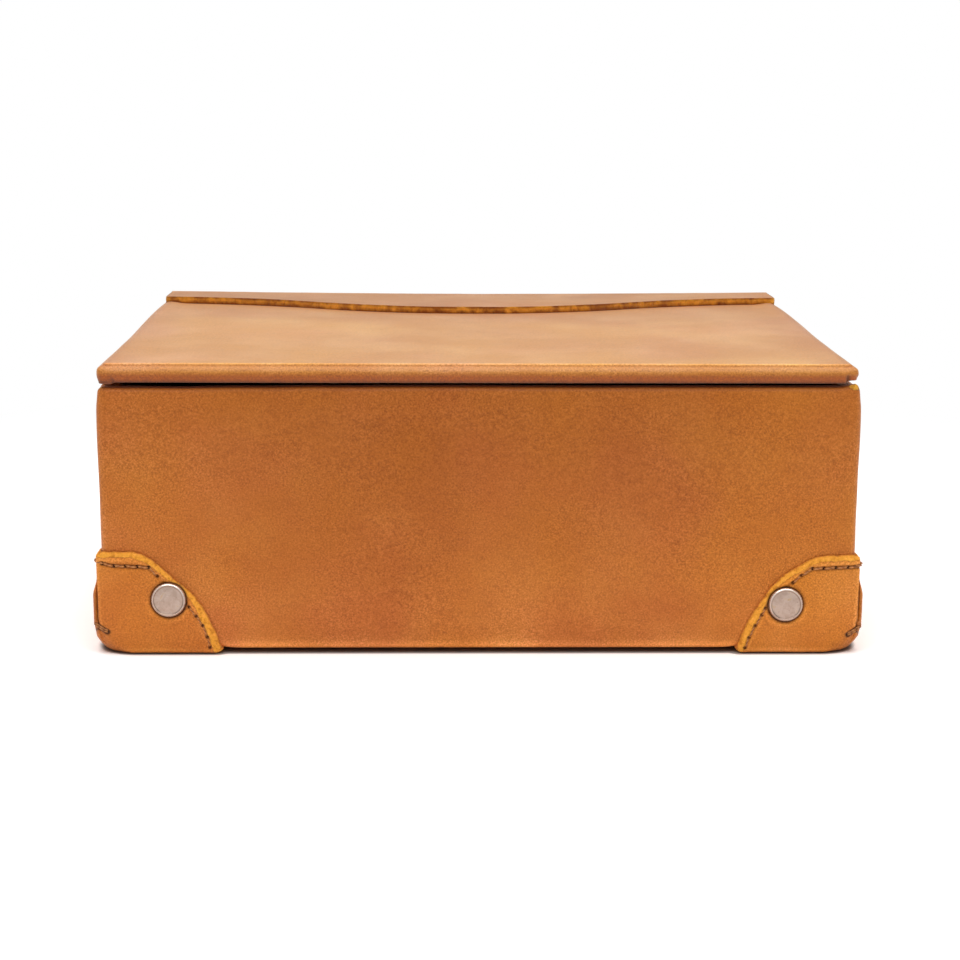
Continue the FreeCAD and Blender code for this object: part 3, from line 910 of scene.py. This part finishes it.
# For each corner: its side of the box, how much lower than drawn the maker cut the guard and set
# its rivets, how far its edge swells out below its shoulder, and how far the rivets were set from
# their drawn place (across, up)
corner_details = {
    "front_left": {"side": (-1, -1), "drop": 0.0, "swell": -1.0, "rivet_shift": (-0.15, 0.95)},
    "front_right": {"side": (1, -1), "drop": 1.2, "swell": 0.85, "rivet_shift": (0.7, 0.45)},
    "back_left": {"side": (-1, 1), "drop": 0.6, "swell": 0.3, "rivet_shift": (0.2, 0.3)},
    "back_right": {"side": (1, 1), "drop": 0.3, "swell": -0.4, "rivet_shift": (0.0, -0.2)},
}

first_seed = 51
seed_step = 7
seam_low = (2.0, 7.9)  # hole of the seam that closes the guard's upright corner
voxel = 0.36  # cell of the grid from which the guards' surface is drawn
slit_foot = 9.5  # the slit beside the front flap starts at this height
over_floor = 0.02  # nothing of the guards lies lower than this
flank_start = 17  # from here across, the stitches run down the flank
guard_edge_round = 1.5
guard_vertex_round = 6.4
thread_radius = 0.38


def rivet_place(corner):
    """Middle of a corner's rivets on their flaps, before the guard's drop: (across, up)."""
    shift = corner_details[corner]["rivet_shift"]
    return rivet_u + shift[0], rivet_z + shift[1]


def corner_to_world(corner, u, v, z):
    side_x, side_y = corner_details[corner]["side"]
    return np.stack(np.broadcast_arrays(side_x * (half_width - u), side_y * (half_depth - v), z),
                    -1)


def on_flap(on_front, across, out, up):
    """Corner coordinates of a place on the front flap or on the side flap."""
    return (across, out, up) if on_front else (out, across, up)


def block_distance(a, b, c, edge, vertex):
    """Distance to a block near its corner, where its round edges are rounder."""
    far = most(a, b, c)
    radius = edge + (vertex - edge) * ramp(vertex * 2, vertex * 0.5, far)
    short = [radius - d for d in (a, b, c)]
    outside = np.sqrt(sum(most(s, 0) ** 2 for s in short))
    return outside + least(most(*short), 0) - radius


def flap_edge_distance(u, z, swell):
    """How far a point of an upright flap lies inside its free edge."""
    from_u = u - shoulder_centre[0]
    from_z = z - shoulder_centre[1]
    shoulder = shoulder_radius - np.hypot(from_u, from_z)
    flank = flank_radius - np.hypot(u - flank_centre[0], z - flank_centre[1])
    steep = np.arctan2(from_z, from_u) > math.pi / 2 - shoulder_angle
    distance = np.where(from_u < 0, least(guard_height - z, flank),
                        np.where(steep, shoulder, flank))
    tip = 0.9 * bump_at(u, -1.9, 1.1)
    return distance + tip + swell * bump_at(np.hypot(u - 25.0, z - 27.0), 0.0, 6.0)


def flap_holes(corner, seed):
    """Stitch holes of an upright flap as (u, z): along its top, then down its flank."""
    random = np.random.RandomState(seed)
    if corner.endswith("left"):
        holes = [(0.9, 31.6), (4.7, 30.7), (8.5, 30.6), (12.5, 30.4), (16.3, 30.2), (19.2, 27.2),
                 (29.4, 16.5), (31.8, 13.3), (33.9, 10.0), (35.4, 6.0), (36.2, 2.4)]
    else:
        holes = [(-0.9, 31.7), (2.8, 31.4), (7.0, 31.2), (11.1, 31.0), (14.9, 30.9), (18.6, 28.5),
                 (21.4, 26.0), (30.3, 17.1), (31.5, 14.7), (33.6, 11.0), (35.6, 6.8), (36.9, 3.2)]
    if corner.startswith("front"):
        return holes
    return [(u + random.uniform(-0.4, 0.4), z + random.uniform(-0.2, 0.2)) for u, z in holes]


def least_distance(u, z, places):
    """Distance to the nearest of some places."""
    return least(*[np.hypot(u - place[0], z - place[1]) for place in places])


def path_distance(u, z, places):
    """Distance to the broken line through places."""
    distances = []
    for (start_u, start_z), (end_u, end_z) in zip(places[:-1], places[1:]):
        way_u = end_u - start_u
        way_z = end_z - start_z
        share = ((u - start_u) * way_u + (z - start_z) * way_z) / (way_u ** 2 + way_z ** 2)
        share = np.clip(share, 0, 1)
        distances.append(np.hypot(u - start_u - share * way_u, z - start_z - share * way_z))
    return least(*distances)


def band_width(z):
    """Width of the raw band along a flap's free edge."""
    return 1.85 - 0.45 * bump_at(z, 23.5, 4.5) + 1.0 * ramp(19, 10, z)


def slit_place(z):
    """How far in from the side wall the front flap's upright edge lies."""
    return -0.65 - 0.8 * np.clip((z - 10) / 18, 0, 1)


def side_recess(z):
    """How far the end of the side flap stands back behind the front flap."""
    return 0.6 * ramp(7, 11, z)


def flap_relief(across, z, edge, holes, rivet_middle):
    """Height of a flap's face over its plain surface."""
    pits = least_distance(across, z, holes + [seam_low])
    groove = 0.36 * bump_at(path_distance(across, z, holes), 0.0, 0.6)
    lip = 0.18 * bump_at(edge, band_width(z) + 0.8, 0.7)
    rivet = np.hypot(across - rivet_middle[0], z - rivet_middle[1])
    dent = 0.4 * bump_at(rivet, 5.5, 1.2) - 0.14 * bump_at(rivet, 7.3, 0.7)
    return lip - groove - dent - 0.9 * bump_at(pits, 0.0, 0.5)


def guard_fields(u, v, z, corner, seed, holes):
    """Signed distance to the guard's leather, and the values its colour follows.

    These are the distance from the free edge, the width of the raw band there, and whether a
    point belongs to the front flap or to the one underneath.
    """
    drop = corner_details[corner]["drop"]
    wander = 0.24 * noise_at(u, v, z, 7.0, seed) + 0.26 * noise_at(u, v, z, 1.6, seed + 1)
    skin = 0.07 * noise_at(u, v, z, 6.0, seed + 2) + 0.035 * noise_at(u, v, z, 2.2, seed + 3)
    body = block_distance(u, v, z - guard_leather, base_round, body_vertex_round)
    is_under = guard_leather - z > most(-u, -v)
    edge_under = guard_reach - 0.22 * drop - np.hypot(u, v)

    # The front flap laps over the end of the side flap, which bulges out beside it
    gap = -0.3 + 0.85 * ramp(7, 10, z)
    front = least((v - u) / math.sqrt(2), most(slit_place(z) - u, v + 0.6))
    bulge = 1.05 * ramp(1.5, 6, z) * ramp(26.5, 20, z)
    bulge = bulge * ramp(14, -2, v) - 0.4 * ramp(20, 27, z)
    # The lower edges stand a little off the floor
    lift = 0.3 * ramp(4.5, -1.8, least(u, v))
    run = band_width(z) + 1.3 * wander + 0.35 * noise_at(u, v, z, 1.1, seed + 4)

    def flap(across, growth, recess, own_holes, own_side):
        edge = flap_edge_distance(across, z + drop, corner_details[corner]["swell"])
        relief = flap_relief(across, z + drop, edge, own_holes, rivet_place(corner))
        edge = np.where(is_under, edge_under, edge) + wander
        outer = block_distance(u + guard_leather + growth, v + guard_leather - recess, z - lift,
                               guard_edge_round, guard_vertex_round)
        outer = outer - np.where(is_under, 0, relief) - skin
        # The bevel takes the face down to the free edge in a curve
        inset = most(0, 1 - edge / run)
        depth = most(0, 1 + outer / guard_leather)
        power = 1.6
        bevel = ((inset ** power + depth ** power) ** (1 / power) - 1) * guard_leather
        # The raw edge stands off the wall a little
        undercut = 0.35 * most(0, (-outer - guard_leather + 0.5) / 0.5) ** 2 - edge
        return most(outer, 0.02 - body, bevel, undercut, own_side + gap / 2), edge

    front_leather, front_edge = flap(u, 0, 0, holes[0], front)
    side_leather, side_edge = flap(v, bulge, side_recess(z), holes[1], -front)
    on_front = front < 0
    edge = np.where(on_front, front_edge, side_edge)
    return least(front_leather, side_leather), edge, run, on_front, is_under


def guard_surface(corner, seed, holes):
    """Points in corner coordinates and quads round the guard's leather."""
    origin = np.array([-3.4, -3.0, -0.9])
    size = np.array([guard_reach + 1.5, guard_reach + 1.5, guard_height + 1.2]) - origin
    steps = np.ceil(size / voxel).astype(int)
    u, v, z = [origin[k] + voxel * np.arange(steps[k]) for k in range(3)]
    # Only the parts near a wall or near the floor hold leather, so they are filled one by one
    near_floor = 11.0
    near_wall = guard_leather + 9.5
    low = int((z < near_floor).sum())
    near_u = int((u < near_wall).sum())
    near_v = int((v < near_wall).sum())
    far = 4 * voxel
    grid = openvdb.FloatGrid(far)
    for end_u, end_v, start, end in ((len(u), len(v), 0, low + 1), (len(u), near_v, low, len(z)),
                                     (near_u, len(v), low, len(z))):
        block = np.meshgrid(u[:end_u], v[:end_v], z[start:end], indexing="ij", sparse=True)
        distance = guard_fields(*block, corner, seed, holes)[0]
        distance = np.clip(distance, -far, far).astype(np.float32)
        grid.copyFromArray(distance, ijk=(0, 0, start))
    points, quads = grid.convertToQuads(isovalue=0.0)
    return points.astype(float) * voxel + origin, quads.tolist()


def make_guard(corner, seed, holes, material):
    """Guard of one corner: one piece of leather in three flaps."""
    points, quads = guard_surface(corner, seed, holes)
    u, v, z = points.T
    edge, run, on_front, is_under = guard_fields(u, v, z, corner, seed, holes)[1:]
    slit = slit_place(z)
    across = np.where(on_front, u, v)
    cut_z = z + corner_details[corner]["drop"]
    outside = np.where(on_front, v, u) < -guard_leather + 1.3
    on_face = outside & ~is_under
    on_flank = ramp(16.5, 18.5, across)
    middle_u, middle_z = rivet_place(corner)

    def of_own_flap(measure, places_front, places_side):
        return np.where(on_front, measure(u, cut_z, places_front), measure(v, cut_z, places_side))

    end_face = side_recess(z) + 0.25 - guard_leather
    side_end = ~on_front & (v < end_face) & (u < slit - 0.05) & (z > 10)
    raw = most(ramp(run + 0.4, run - 0.45, edge), 0.75 * side_end)
    # The raw band darkens towards the wall, painted shade at its contact, and the side flap's end
    # face is painted in the darker tone, as it lies in shade
    burnish = np.where(side_end, 1.0, 0.9 * ramp(0.35, 0.0, edge / run))

    # Painted shade: in the stitch holes, in a ring round each rivet, in the slit, in the dents
    # beside the threads and between the seam's threads
    to_hole = of_own_flap(least_distance, holes[0] + [seam_low], holes[1] + [seam_low])
    to_thread = of_own_flap(path_distance, *holes)
    to_seam = path_distance(across, cut_z, [seam_low, (-1.8, 10.2)])
    under_rivet = np.hypot(across - middle_u, cut_z - middle_z + 0.2)
    in_slit = (np.abs(u - slit) < 0.2) & (v < -0.8) & (z > slit_foot)
    hole = most((0.97 - 0.25 * on_flank) * ramp(0.78, 0.48, to_hole) * on_face,
                0.95 * bump_at(under_rivet, rivet_radius + 0.15, 0.45) * outside,
                0.8 * in_slit * ramp(-1.9, -1.3, v),
                (0.54 - 0.34 * on_flank) * bump_at(to_thread, 0.55, 0.22) * on_face,
                0.9 * bump_at(to_seam, 0.75, 0.32) * on_face)

    # Lighter places: painted highlights on the lip beside the raw band, along the foot's edge, on
    # the front flap's edge at the slit and on the raised ring below each rivet; the upright corner
    # is lighter from wear
    to_corner = np.hypot(u + guard_leather - 0.7, v + guard_leather - 0.7)
    to_foot = np.hypot(z - 1.3, least(u, v) + 1.8)
    halo = bump_at(np.hypot(across - middle_u, cut_z - middle_z), 7.2, 0.8)
    wear = most(0.42 * bump_at(edge, run + 0.75, 0.7) * outside,
                0.22 * bump_at(to_corner, 0.2, 1.0) * (z > 10),
                0.6 * bump_at(to_foot, 0.0, 0.8),
                0.4 * bump_at(u - slit, 0.6, 0.5) * on_front * (v < -0.8) * (z > 9),
                0.5 * halo * ramp(2, -4, cut_z - middle_z) * outside)

    # Painted shade on the side flap beside the seam and round the lower corner
    low_corner = np.sqrt((u + guard_leather) ** 2 + (v + guard_leather) ** 2 + (z - 1) ** 2)
    shade = most(0.45 * ~on_front * ramp(1.6, -0.8, v) * ramp(6, 9, z),
                 0.6 * bump_at(low_corner, 0.0, 5.0))
    world = corner_to_world(corner, u, v, z)
    world[:, 2] = most(world[:, 2], over_floor)
    guard = make_object("guard_leather_" + corner, world, quads, {
        "raw": raw, "burnish": burnish, "hole": hole, "shade": shade, "wear": wear}, weld=0.0005)
    dress(guard, "box", material, "guard_" + corner)


# ---- threads ----

def tube(path, radius, offset):
    """Twisted strands along a path: points, faces and how deep each point sits in a groove."""
    strands = 2
    twist = 1.7  # radians for each millimetre
    sides = 7
    tangent = np.gradient(path, axis=0)
    tangent /= np.linalg.norm(tangent, axis=1)[:, None]
    side = np.cross(tangent, np.array([0.31, 0.22, 0.93]))
    side /= np.linalg.norm(side, axis=1)[:, None]
    up = np.cross(side, tangent)
    length = np.concatenate([[0], np.cumsum(np.linalg.norm(np.diff(path, axis=0), axis=1))])
    arm = 0.42 * radius
    strand_radius = 0.62 * radius
    points = []
    faces = []
    around = np.linspace(0, 2 * math.pi, sides, endpoint=False)
    for strand in range(strands):
        turn = (twist * length + 2 * math.pi * strand / strands)[:, None]
        centre = path + arm * (np.cos(turn) * side + np.sin(turn) * up)
        angles = (around + turn)[..., None]
        rings = centre[:, None] + strand_radius * (np.cos(angles) * side[:, None]
                                                   + np.sin(angles) * up[:, None])
        first = offset + strand * len(path) * sides
        strand_points, strand_faces = stack_rings(rings, offset=first)
        last = first + (len(path) - 1) * sides
        ends = [list(range(first + sides - 1, first - 1, -1)), list(range(last, last + sides))]
        points.append(strand_points)
        faces += strand_faces + ends
    # Painted shade where the strands meet
    groove = ramp(0.55, 1.0, 0.5 + 0.5 * np.cos(around))
    return np.concatenate(points), faces, np.tile(groove, strands * len(path))


def stitch_path(start, end):
    """Path over a face as (across, up, height), from hole to hole, with a slight slant."""
    steps = 13
    from_hole = 0.3
    slant = 0.16
    sunk = -0.65
    thread_lift = 0.62
    share = np.linspace(0, 1, steps)[:, None]
    start, end = np.array(start), np.array(end)
    way = (end - start) / np.linalg.norm(end - start)
    flat = (start + from_hole * way) * (1 - share) + (end - from_hole * way) * share
    flat = flat + np.array([-way[1], way[0]]) * slant * (1 - 2 * share)
    rise = least(1.0, np.sin(math.pi * share[:, 0]) * 2.4)
    return np.column_stack([flat, sunk + thread_lift * rise])


def corner_path(start, end, bulge):
    """Path of a thread round the upright corner, from (u, z) in front to (v, z) at the side."""
    (front_u, front_z), (side_v, side_z) = start, end
    lift = 0.02
    surface = -guard_leather - lift
    sunk = 0.6 - guard_leather
    corner_round = 2.5
    centre = corner_round - guard_leather
    arm = lift + corner_round
    angle = np.linspace(0, math.pi / 2, 9)
    u = np.concatenate([[front_u, front_u, front_u * 0.7], centre - arm * np.sin(angle),
                        [surface - bulge, surface - bulge, sunk]])
    v = np.concatenate([[sunk, 0.1 - guard_leather, surface], centre - arm * np.cos(angle),
                        [side_v * 0.7, side_v, side_v]])
    before_side = np.arange(len(u)) < 3 + len(angle)
    u = u - bulge * ramp(0.4, 1.0, (centre - u) / arm) * before_side
    return np.column_stack([u, v, np.linspace(front_z, side_z, len(u))])


def make_threads(corner, holes, material):
    """All stitches of one guard, and the threads across its upright seam."""
    paths = []
    for flap, on_front in zip(holes, (True, False)):
        for start, end in zip(flap[:-1], flap[1:]):
            middle_u, middle_z = (np.array(start) + np.array(end)) / 2
            # No stitch runs under the rivet
            if math.hypot(middle_u - rivet_u, middle_z - rivet_z) < rivet_radius + 0.9:
                continue
            across, up, height = stitch_path(start, end).T
            sunk_on_flank = 0.2 * (middle_u > flank_start)
            out = sunk_on_flank - height - guard_leather
            paths.append(np.column_stack(on_flap(on_front, across, out, up)))
    # Across the corner near the top, and twice across it near the foot
    side_top = (holes[1][0][0], holes[1][0][1] + 0.9)
    paths.append(corner_path(holes[0][0], side_top, 0.0))
    paths.append(corner_path((2.0, 8.2), (2.2, 12.6), 0.75))
    paths.append(corner_path((2.0, 7.6), (2.2, 11.8), 0.75))
    points = []
    faces = []
    groove = []
    for path in paths:
        tube_points, tube_faces, tube_groove = tube(path, thread_radius, sum(map(len, points)))
        points.append(tube_points)
        faces += tube_faces
        groove.append(tube_groove)
    u, v, z = np.concatenate(points).T
    world = corner_to_world(corner, u, v, z - corner_details[corner]["drop"])
    thread = make_object("waxed_thread_" + corner, world, faces,
                         {"groove": np.concatenate(groove)}, weld=0.0001)
    dress(thread, "box", material, "thread_" + corner)


# ---- rivets ----

def make_rivets(material):
    """Caps of the eight rivets: raised rim, shallow ring inside it, slightly domed middle."""
    # From the rivet's foot over its rim to its middle: (radius, height)
    profile = [(5.5, -0.25), (5.72, -0.1), (5.8, 0.1), (5.8, 0.4), (5.75, 0.7), (5.64, 0.95),
               (5.48, 1.16), (5.28, 1.3), (5.1, 1.34), (4.98, 1.28), (4.9, 1.14), (4.84, 1.02),
               (4.7, 0.98), (4.4, 0.99), (3.6, 1.07), (2.4, 1.14), (1.2, 1.17), (0.0, 1.18)]
    sides = 72
    rivet_count = 2 * len(corner_details)
    angle = 2 * math.pi * np.arange(sides) / sides
    radius, height = np.array(profile).T[..., None]
    # Painted shade in the ring inside the rim and low on the cap's side
    groove = 0.4 * bump_at(radius, 4.85, 0.14) * (height > 0.9) + 0.6 * (height < 0.4)
    # The rim is lighter all round, with a painted highlight along its top
    polish_and_top_highlight = 0.35 + 0.65 * ramp(0.1, 0.8, np.sin(angle))
    rim = polish_and_top_highlight * ramp(5.15, 5.4, radius) * ramp(0.5, 0.8, height)
    points = []
    faces = []
    for corner in corner_details:
        middle_u, middle_z = rivet_place(corner)
        across = middle_u + radius * np.cos(angle)
        up = middle_z - corner_details[corner]["drop"] + radius * np.sin(angle)
        for on_front in (True, False):
            place = on_flap(on_front, across, 0.02 - guard_leather - height, up)
            first = len(points) * len(profile) * sides
            rivet_points, rivet_faces = stack_rings(corner_to_world(corner, *place), offset=first)
            points.append(rivet_points)
            faces += rivet_faces + [list(range(first, first + sides))]
    caps = make_object("rivet_cap_faces", np.concatenate(points), faces, {
        "groove": np.tile(np.repeat(groove, sides), rivet_count),
        "rim": np.tile(rim.ravel(), rivet_count)}, weld=0.0002)
    dress(caps, "box", material, "rivet_caps")


# ---- soft plates ----

def soft_plate(name, node, body, material, radius, seed):
    """Plate in a node's place with round edges and a slightly uneven face."""
    step = 3.0
    ripple = 0.06
    low, high = node_box(node)
    lead = radius * (1 - np.cos(np.radians([0, 30, 60])))
    axes = []
    for k in range(3):
        steps = max(int((high[k] - low[k]) / step), 2)
        inner = np.linspace(low[k] + radius, high[k] - radius, steps + 1)
        axes.append(np.concatenate([low[k] + lead, inner, (high[k] - lead)[::-1]]))
    points = np.zeros((0, 3))
    faces = []
    for axis in range(3):
        first_axis = (axis + 1) % 3
        second_axis = (axis + 2) % 3
        shape = (len(axes[first_axis]), len(axes[second_axis]))
        for end in (low[axis], high[axis]):
            face = np.full((*shape, 3), end)
            face[..., first_axis] = axes[first_axis][:, None]
            face[..., second_axis] = axes[second_axis]
            faces += grid_faces(len(points) + np.arange(shape[0] * shape[1]).reshape(shape))
            points = np.concatenate([points, face.reshape(-1, 3)])
    nearest = np.clip(points, low + radius, high - radius)
    out = points - nearest
    length = np.linalg.norm(out, axis=1)[:, None]
    out = out / most(length, 1e-9)
    points = nearest + out * least(length, radius)
    wave = ripple * (noise_at(*points.T, 17, seed) - 1) / 2
    plate = make_object(name, points + out * wave[:, None], faces, {}, weld=0.001)
    dress(plate, body, material, node)


def make_plates(materials):
    suede, cover = materials["suede"], materials["cover"]
    for side in ("front", "back", "left", "right", "floor"):
        soft_plate("suede_" + side, "lining_" + side, "box", suede, radius=0.7, seed=41)
    soft_plate("suede_lid", "lid_lining", "lid", suede, radius=0.9, seed=42)
    soft_plate("base_leather", "base_cover", "box", cover, radius=0.6, seed=43)


def dress_cad_nodes(materials):
    """Boards and rivet posts keep their CAD shape."""
    for obj in bpy.data.objects:
        if obj.get("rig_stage") or obj.type != "MESH":
            continue
        for start, kind in (("board_", "board"), ("lid_board", "board"), ("rivet_posts", "rivet")):
            if obj.name.startswith(start):
                obj.data.materials.clear()
                obj.data.materials.append(materials[kind])


# ---- camera, light and floor ----

def make_camera():
    """Camera in the photo's place, looking slightly down. Angles are in degrees."""
    place = Vector((-14.8, -773.4, 196.5)) * MM
    looking_down = 11.526
    turned_right = 1.266
    rolled = 0.288
    data = bpy.data.cameras.new("camera")
    data.sensor_width = 36
    data.lens = 77.01
    data.clip_end = 20
    camera = add_object("camera", data)
    camera.matrix_world = (Matrix.Translation(place)
                           @ Matrix.Rotation(math.radians(-turned_right), 4, "Z")
                           @ Matrix.Rotation(math.radians(90 - looking_down), 4, "X")
                           @ Matrix.Rotation(math.radians(rolled), 4, "Z"))
    bpy.context.scene.camera = camera


def make_overhead_light():
    """Large soft light above the box, in metres and watts."""
    place = Vector((0.0, -0.2, 1.3))
    target = Vector((0, -0.15, 0.05))
    data = bpy.data.lights.new("overhead", "AREA")
    data.shape = "RECTANGLE"
    data.size = 1.8
    data.size_y = 1.6
    data.energy = 26
    lamp = add_object("overhead", data)
    lamp.location = place
    lamp.rotation_euler = (target - place).to_track_quat("-Z", "Y").to_euler()
    lamp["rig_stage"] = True


def show_by_ray(n, others, seen):
    """Shows one shader to the camera's rays and those metal and glass send on, else another."""
    directly = n.add("LightPath", "Is Camera Ray")
    for name in ("Is Glossy Ray", "Is Transmission Ray"):
        directly = n.math("MAXIMUM", directly, n.add("LightPath", name))
    n.show(n.add("MixShader", 0, {"Fac": directly, 1: others, 2: seen}))


def make_world():
    """White background for the camera and reflections, softer light for everything else."""
    world = bpy.data.worlds.new("studio")
    bpy.context.scene.world = world
    n = Nodes(world)
    soft, white = [n.add("Background", 0, {"Color": (1, 1, 1, 1), "Strength": strength})
                   for strength in (0.3, 1.0)]
    show_by_ray(n, soft, white)


def make_floor():
    size = 6.0
    mesh = bpy.data.meshes.new("floor")
    mesh.from_pydata([(-size, -size, 0), (size, -size, 0), (size, size, 0), (-size, size, 0)],
                     [], [(0, 1, 2, 3)])
    floor = add_object("floor", mesh)
    mesh.materials.append(floor_material())
    floor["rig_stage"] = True


def floor_material():
    """White floor that glows round the box like a light table, has a painted contact shadow near
    the box, and fades to white further off.
    """
    floor_grey = (0.85, 0.85, 0.85, 1)
    lit_floor = (1.2, 1.2, 1.2, 1)
    painted_contact_shadow = (0.3, 0.28, 0.26, 1)
    corner_round = 12 * MM
    n = material_nodes("white_floor")
    n.tree.nodes.remove(n.tree.nodes["Principled BSDF"])

    def past(axis, half):
        """How far a point lies outside the box's walls along one axis, in metres."""
        from_middle = n.math("ABSOLUTE", n.add("SeparateXYZ", axis, {0: n.place}))
        return n.math("SUBTRACT", from_middle, half * MM)

    def from_round(distance):
        """How far a point lies past the middle of the round corner of the box's outline."""
        return n.math("MAXIMUM", n.math("ADD", distance, corner_round), 0.0)

    # It glows beside the box and less further off, and is dark under the box itself
    past_side = past("X", half_width)
    past_front = past("Y", half_depth)
    past_box = n.math("MAXIMUM", past_side, past_front)
    strength = n.math("MULTIPLY", n.remap(past_box, 0.0025, 0.01),
                      n.remap(past_box, 0.03, 0.2, 0.5, 0.0))
    plain = n.add("BsdfDiffuse", 0, {"Color": floor_grey})
    lit = n.add("AddShader", 0, {0: plain, 1: n.add("Emission", 0, {"Strength": strength})})
    # Seen directly, the floor has a painted contact shadow under and just round the box, and goes
    # over to even white further off
    from_rounds = (from_round(past_side), from_round(past_front))
    squares = [n.math("MULTIPLY", distance, distance) for distance in from_rounds]
    past_outline = n.math("SUBTRACT", n.math("SQRT", n.math("ADD", *squares)), corner_round)
    by_guard = n.remap(n.math("MINIMUM", past_side, past_front), -(guard_reach + 2) * MM,
                       (2 - guard_reach) * MM, 0.0, 0.0016)
    open_floor = n.remap(n.math("SUBTRACT", past_outline, by_guard), -0.0002, 0.0022)
    near_color = n.mix(open_floor, painted_contact_shadow, lit_floor)
    near = n.add("BsdfDiffuse", 0, {"Color": near_color})
    white = n.add("Emission", 0, {"Color": (1, 1, 1, 1), "Strength": 1.0})
    from_box = n.add("VectorMath", "Value", {0: n.place}, operation="LENGTH")
    seen = n.add("MixShader", 0, {"Fac": n.remap(from_box, 0.2, 0.45), 1: near, 2: white})
    show_by_ray(n, lit, seen)
    return n.owner


def make_studio():
    bpy.context.scene.view_settings.view_transform = "Standard"
    make_camera()
    make_world()
    make_floor()
    make_overhead_light()


# ---- everything ----

def build():
    materials = make_materials()
    make_wall_cover(materials["cover"])
    make_lid_cover(materials["lid"])
    make_hinge_strip(materials["strip"])
    for index, corner in enumerate(corner_details):
        seed = first_seed + index * seed_step
        holes = (flap_holes(corner, seed), flap_holes(corner, seed + 1))
        make_guard(corner, 10 * seed, holes, materials["guard"])
        make_threads(corner, holes, materials["thread"])
    make_rivets(materials["rivet"])
    make_plates(materials)
    dress_cad_nodes(materials)
    make_studio()


build()
